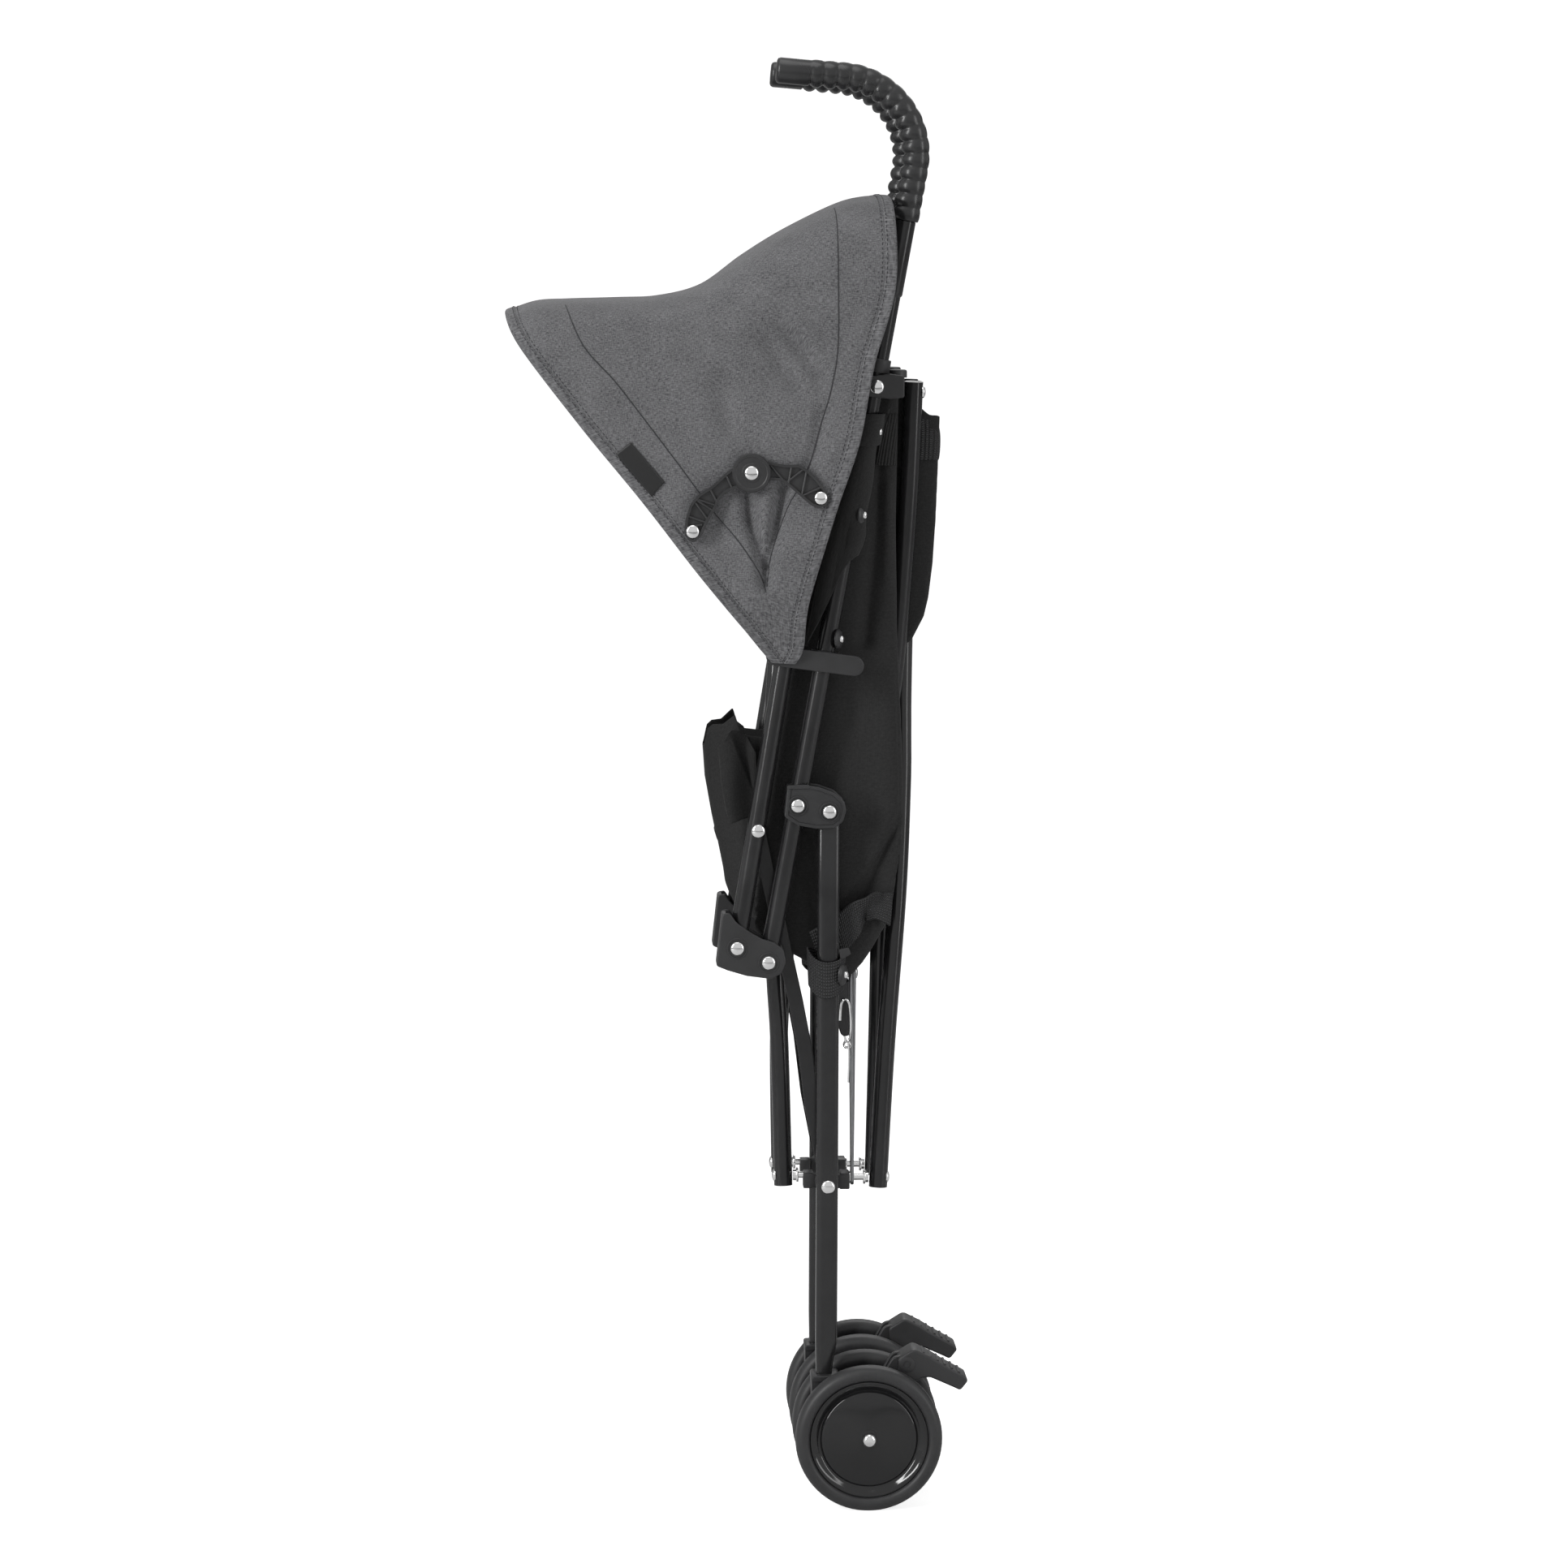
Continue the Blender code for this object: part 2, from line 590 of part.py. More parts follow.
LINK_PATH = [HUB, (-9.5, 300.0), (-15.0, 345.0), (-22.0, 382.0), LINK_TOP]


def side_link(side, s):
    """The flat link from the rear leg's hub up to the front leg."""
    solid = plate(strip(LINK_PATH, 11.0), s * LINK_DEPTH[0], s * LINK_DEPTH[1])
    solid = cut(solid, across(HUB, s * 30.0, s * 45.0, 3.3), across(LINK_TOP, s * 30.0, s * 45.0, PIN_HOLE_R))
    return node(solid, f"{side}_side_link", "frame", at(HUB, s * HALF_TRACK))


def hub_clevis(side, s, rear):
    """A hub wing: a ring on the hub pin and a block that carries a cross tube's bolt."""
    sign = 1.0 if rear else -1.0
    depths = (s * 31.7, s * 35.7) if rear else (s * 27.3, s * 31.2)
    foot = REAR_CROSS_FOOT if rear else FRONT_CROSS_FOOT
    ring = plate(disc(HUB, 9.0), *depths)
    tab = sorted((HUB[0] + sign * 5.0, HUB[0] + sign * 16.5))
    body = sorted((HUB[0] + sign * 9.9, HUB[0] + sign * 17.5))
    solid = join(ring, block(*tab, *sorted((depths[0] + s * 0.4, depths[1] - s * 0.4)), HUB[1] - 5.2, HUB[1] + 5.2),
                 block(*body, *sorted((s * 18.5, depths[1] - s * 0.8)), HUB[1] - 6.0, HUB[1] + 6.0))
    solid = cut(solid, across(HUB, s * 20.0, s * 45.0, 3.3))
    face = foot[0] - sign * (CROSS_R + GAP)
    start = HUB[0] + sign * 16.0
    y = s * CROSS_DEPTH
    solid = join(solid, lengthwise(start, face, y, foot[1], PIN_R))
    if rear:
        solid = join(solid, lengthwise(HUB[0] + 24.8, face, y, foot[1], HEAD_R))
    else:
        solid = join(solid, lengthwise(start, face, y, foot[1], 4.4))
    name = "rear" if rear else "front"
    return node(solid, f"{side}_{name}_hub_clevis", "plastic", at(HUB, y))


def top_clevis(side, s):
    """The forked block on the push tube that carries the rear cross tube's upper end."""
    inner, outer = bracket_span(s)
    outline = rounded([(27.5, 838.0, 6), (27.5, 852.5, 6), (46.0, 854.5, 1), (57.0, 853.0, 2), (57.0, 837.0, 2),
                       (46.0, 836.0, 1)])
    solid = plate(outline, inner, outer, 0.8)
    low_in, high_in = slot_span(s)
    solid = join(solid, block(48.4, 56.4, *sorted((s * 18.0, s * 45.0)), 838.4, 852.0))
    # the slot widens upwards, so that the clevis can turn on the push tube
    slot = [(0.0, 815.0), (47.8, 815.0), (47.8, 847.6), (53.6, 855.5), (53.6, 880.0), (0.0, 880.0)]
    solid = cut(solid, plate(slot, low_in, high_in),
                across(TOP_CLEVIS, s * 30.0, s * 70.0, PIN_HOLE_R))
    cap = rod((53.0, s * 33.0, 851.0), (53.0, s * 33.0, 857.0), 7.8, 16)
    y = s * CROSS_DEPTH
    face = REAR_CROSS_TOP[0] - CROSS_R - GAP
    solid = join(solid, cap, lengthwise(50.0, face, y, REAR_CROSS_TOP[1], 4.4))
    return node(solid, f"{side}_top_clevis", "plastic", at(TOP_CLEVIS, y))


def leg_clevis(side, s):
    """The small clevis on the front leg that carries the front cross tube's upper end."""
    x, z = FRONT_CLEVIS
    solid = plate(disc(FRONT_CLEVIS, 7.6), s * 31.3, s * 41.8)
    solid = join(solid, block(x - 10.8, x - 4.0, *sorted((s * 31.8, s * 41.3)), z - 5.5, z + 5.5),
                 block(x - 11.5, x - 9.0, *sorted((s * 18.5, s * 40.8)), z - 6.0, z + 6.0))
    solid = cut(solid, across(FRONT_CLEVIS, s * 25.0, s * 45.0, 3.3))
    face = FRONT_CROSS_TOP[0] + CROSS_R + 2.7
    solid = join(solid, lengthwise(x - 10.2, face, s * CROSS_DEPTH, FRONT_CROSS_TOP[1], 4.4))
    return node(solid, f"{side}_front_clevis", "plastic", at(FRONT_CLEVIS, s * CROSS_DEPTH))


# Side-view bows of the cross tubes, top to bottom; the two of a pair pass in front of and
# behind each other where they cross
REAR_CROSS_BOW = {
    "left": [(62.5, 746.0), (53.0, 622.0), (46.0, 582.0), (45.2, CROSSING_Z), (44.5, 460.0), (43.0, 345.0)],
    "right": [(64.0, 746.0), (61.0, 622.0), (60.6, 582.0), (60.2, CROSSING_Z), (56.5, 460.0), (47.5, 345.0)],
}
FRONT_CROSS_BOW = {
    "left": [(-33.5, 345.0), (-36.5, 400.0), (-39.0, 470.0), (-39.4, 515.0), (-38.8, 560.0), (-33.0, 660.0)],
    "right": [(-32.5, 345.0), (-29.0, 400.0), (-25.0, 470.0), (-24.6, 515.0), (-25.0, 560.0), (-27.0, 660.0)],
}


def cross_tube(side, s, top, foot, bow, name, pivot_at_top):
    """One tube of a cross: it starts on this side and ends on the other."""
    start, end = (top, foot) if pivot_at_top else (foot, top)
    span = end[1] - start[1]
    over = 8.0 * (1 if span > 0 else -1)
    # the front tube's upper end stops short, to clear the clevis as it swings away
    end_over = over if pivot_at_top else 4.4

    def depth(z):
        return s * CROSS_DEPTH * (1 - 2 * (z - start[1]) / span)

    path = [(start[0], start[1] - over), *bow, (end[0], end[1] + end_over)]
    points = [at((x, z), depth(z)) for x, z in path]
    solid = tube(points, CROSS_R, 3)
    out = 1.0 if pivot_at_top else -1.0
    reach = CROSS_R + 1.8
    for x, z in (start, end):
        solid = join(solid, lengthwise(x + out * 3.0, x + out * reach, depth(z), z, 4.6))
    pivot = at(start, s * CROSS_DEPTH)
    return node(solid, f"{side}_{name}_cross_tube", "frame", pivot)


LOCK_BAR_LENGTH = 155.0


def lock_bar(side, s):
    """A flat bar of the folding lock, from the hub bolt up to the middle hinge."""
    x_low = HUB[0] + 18.6 + (0.0 if s < 0 else BAR_T + 0.5)
    half = CROSS_DEPTH
    rise = math.sqrt(LOCK_BAR_LENGTH ** 2 - half ** 2)
    foot_z = REAR_CROSS_FOOT[1]
    solid = plate(strip([(s * half, foot_z), (0.0, foot_z + rise)], 12.0), 0.0, BAR_T)
    solid = cut(solid, across((s * half, foot_z), -5.0, 5.0, PIN_HOLE_R))
    # the outline was drawn with Y for X, so it is turned to face along X
    solid.data.transform(Matrix(((0, 1, 0, x_low * MM), (1, 0, 0, 0), (0, 0, 1, 0), (0, 0, 0, 1))))
    solid.data.flip_normals()
    return node(solid, f"{side}_lock_bar", "steel", at(REAR_CROSS_FOOT, s * half))


def lock_pedal():
    """The foot pedal at the middle of the lock, fixed to the left bar."""
    x_high = HUB[0] + 18.6 - GAP
    outline = rounded([(11.5, 392.0, 3), (x_high, 394.0, 1), (x_high, 352.0, 1), (14.0, 350.0, 2), (9.5, 366.0, 3)])
    solid = plate(outline, -14.0, 8.0, 0.8)
    return node(solid, "lock_pedal", "plastic", at(REAR_CROSS_FOOT, -CROSS_DEPTH))


CLIP_Z = 642.0


def canopy_clip(side, s):
    """The clip that snaps round the push tube, with the canopy's lug on its outer face."""
    y = s * HALF_TRACK
    on_tube = (CLIP_Z - PUSH_FOOT[1]) / PUSH_UP[1]
    low = along(PUSH_FOOT, PUSH_UP, on_tube - 7.0)
    high = along(PUSH_FOOT, PUSH_UP, on_tube + 7.0)
    ring = rod((low[0], y, low[1]), (high[0], y, high[1]), 10.6, 20)
    low = along(PUSH_FOOT, PUSH_UP, on_tube - 12.0)
    high = along(PUSH_FOOT, PUSH_UP, on_tube + 12.0)
    lug = plate(strip([(-38.0, 646.0), (20.0, 638.2)], 15.0), s * 58.2, s * 61.2)
    solid = join(ring, lug)
    solid = cut(solid, rod((low[0], y, low[1]), (high[0], y, high[1]), TUBE_R + 0.4, 20))
    return node(solid, f"{side}_canopy_clip", "plastic", at((0.0, CLIP_Z), y))


# Canopy: its edges in the side view, from the lower tip up to the ridge
CANOPY_FRONT_EDGE = [(-49.0, 655.0), (-60.0, 665.0), (-99.0, 713.5), (-137.0, 763.0), (-181.0, 817.0),
                     (-225.0, 875.0), (-237.0, 900.0)]
CANOPY_REAR_EDGE = [(-19.0, 650.0), (-15.0, 688.0), (3.0, 752.0), (21.0, 806.0), (31.5, 862.0),
                    (47.0, 920.0), (46.0, 985.0)]
CANOPY_RIDGE = [(-237.0, 900.0), (-215.0, 907.5), (-191.0, 909.0), (-154.0, 910.0), (-123.0, 911.5),
                (-91.0, 920.0), (-60.0, 942.0), (-29.0, 961.0), (9.0, 979.5), (30.0, 985.0), (46.0, 985.0)]
CANOPY_HALF_WIDE = 102.0
CANOPY_TIP_WIDE = 63.0
CANOPY_SHOULDER = 0.86
CANOPY_T = 1.8
FOLDS = 3.5                       # slack folds that fan out from the tip on each side
FOLD_DEPTH = 5.5
FOLD_REACH = 0.62


def on_path(points, share):
    """A point at a share of the length along a smooth path through points."""
    points = [Vector(point) for point in points]
    lengths = [0.0]
    for a, b in zip(points, points[1:]):
        lengths.append(lengths[-1] + (b - a).length)
    place = share * lengths[-1]
    index = max(k for k in range(len(points) - 1) if lengths[k] <= place + 1e-9)
    t = (place - lengths[index]) / (lengths[index + 1] - lengths[index])
    p0 = points[max(index - 1, 0)]
    p1, p2 = points[index], points[index + 1]
    p3 = points[min(index + 2, len(points) - 1)]
    return 0.5 * (2 * p1 + (p2 - p0) * t + (2 * p0 - 5 * p1 + 4 * p2 - p3) * t * t
                  + (3 * p1 - p0 - 3 * p2 + p3) * t ** 3)


def canopy_point(u, v):
    """A point of the near half: u from front edge to rear edge, v from the tip to the ridge."""
    front, rear = on_path(CANOPY_FRONT_EDGE, v), on_path(CANOPY_REAR_EDGE, v)
    flat = front.lerp(rear, u)
    ridge = on_path(CANOPY_RIDGE, u)
    chord = Vector(CANOPY_FRONT_EDGE[-1]).lerp(Vector(CANOPY_REAR_EDGE[-1]), u)
    spot = flat + (ridge - chord) * v ** 1.5
    if v < 0.3:
        swell = math.sin(v / 0.3 * math.pi / 2) ** 1.3
        wide = CANOPY_TIP_WIDE + (CANOPY_HALF_WIDE - CANOPY_TIP_WIDE) * swell
    elif v < CANOPY_SHOULDER:
        wide = CANOPY_HALF_WIDE
    else:
        over = min((v - CANOPY_SHOULDER) / (1 - CANOPY_SHOULDER), 1.0)
        wide = CANOPY_HALF_WIDE * max(1 - over ** 3, 0.0) ** (1 / 3)
    if v < FOLD_REACH:
        depth = FOLD_DEPTH * math.sin(math.pi * u) * math.sin(math.pi * v / FOLD_REACH)
        wide -= depth * (0.5 - 0.5 * math.cos(2 * math.pi * FOLDS * u))
    return spot, wide


def canopy_half(side, s):
    """One half of the canopy: a side that turns over into the top, open in front and below."""
    shares = [0.0, 0.08, 0.17, 0.26, 0.36, 0.48, 0.61, 0.75, 0.87, 0.92, 0.96, 0.985, 1.0]
    columns = 17
    work = bmesh.new()
    rows = []
    for v in shares:
        row = []
        for k in range(columns):
            spot, wide = canopy_point(k / (columns - 1), v)
            row.append(work.verts.new(Vector((spot.x, s * max(wide, 0.3), spot.y)) * MM))
        rows.append(row)
    for low, high in zip(rows, rows[1:]):
        for k in range(columns - 1):
            work.faces.new((low[k], low[k + 1], high[k + 1], high[k]))
    bmesh.ops.recalc_face_normals(work, faces=work.faces)
    mesh = bpy.data.meshes.new("canopy")
    work.to_mesh(mesh)
    work.free()
    obj = link(bpy.data.objects.new("canopy", mesh), WORK)
    if sum(face.normal.y * s for face in mesh.polygons) < 0:
        mesh.flip_normals()
    step = obj.modifiers.new("cloth", "SOLIDIFY")
    step.thickness = CANOPY_T * MM
    step.offset = -1.0
    step.use_even_offset = False
    bpy.context.view_layer.update()
    solid = as_mesh(obj)
    # the top stops at the middle, where the other half begins
    solid = cut(solid, block(-300.0, 100.0, *sorted((s * 0.2, -s * 20.0)), 600.0, 1050.0))
    return node(solid, f"{side}_canopy", "canopy", at((0.0, CLIP_Z), s * CANOPY_HALF_WIDE))


def canopy_bow(side, s, rear):
    """A spring-steel bow inside the canopy's front or rear hem, up to the middle."""
    u = 0.955 if rear else 0.045
    points = []
    for v in (0.30, 0.45, 0.60, 0.75, 0.86, 0.92, 0.955, 0.98):
        spot, wide = canopy_point(u, v)
        inward = Vector(CANOPY_FRONT_EDGE[0]).lerp(Vector(CANOPY_REAR_EDGE[0]), 0.5) - spot
        spot = spot + inward.normalized() * (7.0 if v > 0.8 else 2.0)
        points.append(at(spot, s * (min(wide, CANOPY_HALF_WIDE) - (5.0 if v < 0.95 else 4.0))))
    end = points[-1].copy()
    end.y = s * 1.0 * MM
    end.z += 0.0008
    points.append(end)
    solid = tube(points, 2.0, 1)
    name = "rear" if rear else "front"
    return node(solid, f"{side}_{name}_canopy_bow", "steel", at((0.0, CLIP_Z), s * CANOPY_HALF_WIDE))


KNUCKLE = (-56.9, 783.0)
FRONT_STRUT_END = (-99.7, 738.9)
REAR_STRUT_END = (-4.7, 763.6)


def canopy_strut(side, s, rear):
    """One arm of the canopy's folding strut, outside the cloth, with half of its knuckle."""
    base = CANOPY_HALF_WIDE + 0.6
    if rear:
        path = [KNUCKLE, (-40.0, 786.0), (-20.0, 778.0), REAR_STRUT_END]
        depths, knuckle = (base, base + 2.4), (base, base + 2.4)
    else:
        path = [KNUCKLE, (-74.0, 779.0), (-90.0, 762.0), FRONT_STRUT_END]
        depths, knuckle = (base, base + 2.4), (base + 2.7, base + 5.1)
    if rear:
        solid = join(plate(strip(path, 11.0), *(s * d for d in depths)),
                     plate(disc(KNUCKLE, 14.3, 14), *(s * d for d in knuckle)))
        solid = cut(solid, across(KNUCKLE, s * (base - 5), s * (base + 9), PIN_HOLE_R))
    else:
        solid = join(plate(strip(path, 11.0), *(s * d for d in (base + 2.7, base + 5.1))),
                     plate(disc(KNUCKLE, 14.3, 14), *(s * d for d in knuckle)),
                     across(KNUCKLE, s * (base + 0.2), s * (base + 6.3), PIN_R))
    name = "rear" if rear else "front"
    return node(solid, f"{side}_{name}_canopy_strut", "plastic", at(KNUCKLE, s * base))


# The folded seat at heights from its foot to its top: front, back and rearmost fold
SEAT_ROWS = [(412, -12, 20, 20), (440, -16, 34, 34), (470, -17, 36, 36), (500, -17, 36, 36), (540, -16, 36, 36),
             (582, -14, 36, 36), (622, -12, 42, 42), (655, -10, 45, 45), (672, -9, 47, 64), (700, -8, 49, 79),
             (746, 2, 52, 82), (790, 17, 53, 84), (832, 29, 54, 85)]
SEAT_FOLD = 3.0


def seat_half(side, s):
    """Half of the folded seat sling: it fills the space between the push tubes, and above
    the crossing it bulges back between the rear cross tubes."""
    sections = []
    for z, front, back, out in SEAT_ROWS:
        slit = CROSS_DEPTH * (z - CROSSING_Z) / (REAR_CROSS_TOP[1] - CROSSING_Z) - CROSS_R - 2.0
        narrow = min(max(slit, 1.2), 15.0)
        wide = 34.5 if z < 560 else 38.0
        fold = SEAT_FOLD * math.sin(z / 31.0)
        ring = [(front, 0.4), (front + 3 + fold, 8.0), (front - fold, 17.0), (front + 1 + fold, 26.0),
                (front + 3, wide), (back - 14, wide), (back - 3, wide - 6), (back - 2 - abs(fold), wide - 13),
                (back - 1, narrow + 9.0), (back, narrow), (out, max(narrow - 0.4, 0.8)), (out, 0.4)]
        sections.append([Vector((x, s * y, z)) * MM for x, y in ring])
    solid = loft(sections)
    return node(solid, f"{side}_seat_half", "cloth", at(PUSH_FOOT, s * 20.0))


def calf_half(side, s):
    """Half of the calf panel, slack in front of the folded front legs."""
    rows = [(462, -74, -62), (480, -79, -60), (500, -83, -57), (517, -85, -55), (540, -88, -51), (566, -91, -48),
            (581, -92, -46), (597, -87, -45), (605, -76, -52)]
    sections = []
    for z, front, back in rows:
        fold = 2.0 * math.sin(z / 17.0)
        ring = [(front, 0.4), (front + fold, 12.0), (front + 1.0, 24.0), (front + 4.0, 34.0), (back - 2.0, 34.0),
                (back, 24.0), (back - fold, 12.0), (back, 0.4)]
        sections.append([Vector((x, s * y, z)) * MM for x, y in ring])
    solid = loft(sections)
    return node(solid, f"{side}_calf_half", "cloth", at(PUSH_FOOT, s * 20.0))


def build():
    """Make every sub-part of the stroller."""
    axle = (AXLE_X, AXLE_Z)
    caster_axle = along(KNEE_RIVET, FRONT_UP, CASTER_ALONG, CASTER_TRAIL)
    for side, s in SIDES:
        push_tube(side, s)
        handle_grip(side, s)
        pivot_bracket(side, s)
        rear_leg(side, s)
        axle_housing(side, s)
        brake_lever(side, s)
        knee_bracket(side, s)
        front_leg(side, s)
        caster_housing(side, s)
        side_link(side, s)
        for place, out in (("outer", s), ("inner", -s)):
            y = s * HALF_TRACK + out * TWIN_OFFSET
            wheel(f"{side}_rear_wheel_{place}", at(axle, y), out, WHEEL_PROFILE, WHEEL_STEPS)
            wheel(f"{side}_front_wheel_{place}", at(caster_axle, y), out, FRONT_WHEEL_PROFILE, 16)
        hub_clevis(side, s, True)
        hub_clevis(side, s, False)
        top_clevis(side, s)
        leg_clevis(side, s)
        cross_tube(side, s, REAR_CROSS_TOP, REAR_CROSS_FOOT, REAR_CROSS_BOW[side], "rear", True)
        cross_tube(side, s, FRONT_CROSS_TOP, FRONT_CROSS_FOOT, FRONT_CROSS_BOW[side], "front", False)
        lock_bar(side, s)
        canopy_clip(side, s)
        for rear in (False, True):
            canopy_strut(side, s, rear)
            canopy_bow(side, s, rear)
        canopy_half(side, s)
        seat_half(side, s)
        calf_half(side, s)
    lock_pedal()


clear_scene()
PARTS = collection("stroller")
WORK = collection("cutters")
FRAME = bpy.data.objects.new("stroller_frame", None)
PARTS.objects.link(FRAME)
FRAME.location = (FRAME_X * MM, 0.0, 0.0)
MATERIALS = {
    "frame": material("powder_coated_steel", (0.020, 0.020, 0.022), 0.38),
    "plastic": material("moulded_nylon", (0.026, 0.026, 0.028), 0.55),
    "grip": material("soft_foam_grip", (0.030, 0.030, 0.031), 0.50),
    "tyre": material("eva_tyre", (0.024, 0.024, 0.026), 0.62),
    "steel": material("bright_steel", (0.60, 0.60, 0.61), 0.25, 1.0),
    "canopy": material("heather_canopy_cloth", (0.105, 0.105, 0.108), 0.92),
    "cloth": material("black_polyester_cloth", (0.016, 0.016, 0.018), 0.90),
}
build()
bpy.context.view_layer.update()
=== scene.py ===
"""Looks of a lightweight umbrella stroller, folded and standing on its rear wheels.

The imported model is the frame. The pieces below are dressed over it or stand for its nodes.
Lengths in the code are millimetres of the side view, where X = 0 is on the rear leg,
Z = 0 is the ground and Y is the depth; place() turns them into metres in the frame.
s is -1 on the left side and 1 on the right.
"""
from math import atan2, cos, exp, hypot, pi, radians, sin, sqrt, tan

import bmesh
import bpy
from mathutils import Matrix, Vector, noise


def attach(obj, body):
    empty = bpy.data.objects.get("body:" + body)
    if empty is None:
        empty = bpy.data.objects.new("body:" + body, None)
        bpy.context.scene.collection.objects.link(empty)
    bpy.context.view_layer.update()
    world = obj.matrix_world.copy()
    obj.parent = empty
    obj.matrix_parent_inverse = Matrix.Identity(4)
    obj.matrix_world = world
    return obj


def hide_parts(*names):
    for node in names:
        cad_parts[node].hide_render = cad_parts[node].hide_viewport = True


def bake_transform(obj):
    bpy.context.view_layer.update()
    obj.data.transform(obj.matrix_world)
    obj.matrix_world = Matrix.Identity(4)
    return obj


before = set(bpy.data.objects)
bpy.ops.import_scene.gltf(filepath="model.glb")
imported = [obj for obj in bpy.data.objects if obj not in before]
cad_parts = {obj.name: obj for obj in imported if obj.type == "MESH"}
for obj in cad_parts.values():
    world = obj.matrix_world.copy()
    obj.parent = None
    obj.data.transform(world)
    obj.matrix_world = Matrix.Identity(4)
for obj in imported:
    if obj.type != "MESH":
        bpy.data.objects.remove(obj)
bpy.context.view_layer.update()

bl_info = {
    "name": "Lightweight umbrella stroller",
    "version": (1, 0, 0),
    "blender": (4, 5, 0),
    "location": "3D View > Sidebar > Stroller",
    "description": "Dresses the packed frame of a folded umbrella stroller",
    "category": "Add Mesh",
}

MM = 0.001
FRAME_X = 64.8
HALF_TRACK = 50.0
SIDES = (("left", -1.0), ("right", 1.0))

# Pivots and tube runs of the side view, the same as in the part's source
PUSH_FOOT = Vector((-43.5, 415.5))
KNEE_RIVET = Vector((-67.0, 426.5))
LINK_TOP = Vector((-51.0, 514.5))
BRACKET_RIVET = Vector((-21.7, 533.7))
LEG_TOP = Vector((2.0, 529.0))
HUB = Vector((1.5, 243.5))
TOP_CLEVIS = Vector((36.7, 845.0))
FRONT_CLEVIS = Vector((-7.7, 785.9))
REAR_CROSS_TOP = Vector((66.5, 840.0))
REAR_CROSS_FOOT = Vector((41.0, 245.0))
FRONT_CROSS_TOP = Vector((-28.7, 785.9))
FRONT_CROSS_FOOT = Vector((-31.0, 247.0))
CROSSING_Z = 543.0
CROSS_DEPTH = 25.0
PUSH_LEAN = radians(10.4)
FRONT_LEAN = radians(9.37)
PUSH_UP = Vector((sin(PUSH_LEAN), cos(PUSH_LEAN)))
FRONT_UP = Vector((sin(FRONT_LEAN), cos(FRONT_LEAN)))
AXLE = Vector((31.3, 54.82))
FRONT_LEG_LENGTH = 414.0
CASTER_ALONG, CASTER_TRAIL = 436.0, 34.0
TWIN_OFFSET = 25.5
BRAKE_PIVOT = Vector((44.5, 82.0))
KNUCKLE = Vector((-56.9, 783.0))


def linear(code):
    """An sRGB hex colour as linear RGB."""
    values = [int(code[k:k + 2], 16) / 255 for k in (1, 3, 5)]
    return tuple(v / 12.92 if v <= 0.04045 else ((v + 0.055) / 1.055) ** 2.4 for v in values)


# Sizes and colours that a user may change

LENGTH = {"precision": 4, "subtype": "DISTANCE", "unit": "LENGTH"}
COLOUR = {"subtype": "COLOR", "size": 3, "min": 0.0, "max": 1.0}


class StrollerSizes(bpy.types.PropertyGroup):
    """Sizes of the stroller's dressed pieces"""

    tube_radius: bpy.props.FloatProperty(
        name="Tube radius", description="Radius of the push tubes and front legs",
        default=0.0071, min=0.004, max=0.0075, **LENGTH)
    cross_radius: bpy.props.FloatProperty(
        name="Cross tube radius", description="Radius of the tubes of the two folding crosses",
        default=0.007, min=0.004, max=0.0072, **LENGTH)
    grip_radius: bpy.props.FloatProperty(
        name="Grip radius", description="Radius of a bead of the foam grip",
        default=0.0104, min=0.009, max=0.011, **LENGTH)
    grip_beads: bpy.props.IntProperty(
        name="Grip beads", description="Number of beads round the bend of each grip",
        default=16, min=8, max=24)
    rivet_radius: bpy.props.FloatProperty(
        name="Rivet radius", description="Radius of a domed rivet head",
        default=0.0052, min=0.003, max=0.006, **LENGTH)
    cloth_thickness: bpy.props.FloatProperty(
        name="Canopy cloth", description="Thickness of the canopy cloth",
        default=0.0011, min=0.0005, max=0.002, **LENGTH)
    thread_spacing: bpy.props.FloatProperty(
        name="Canopy thread spacing", description="Distance between the heather cloth's drawn threads",
        default=0.0006, min=0.0004, max=0.004, **LENGTH)
    stitch_pitch: bpy.props.FloatProperty(
        name="Stitch pitch", description="Distance from one stitch to the next",
        default=0.0034, min=0.002, max=0.008, **LENGTH)


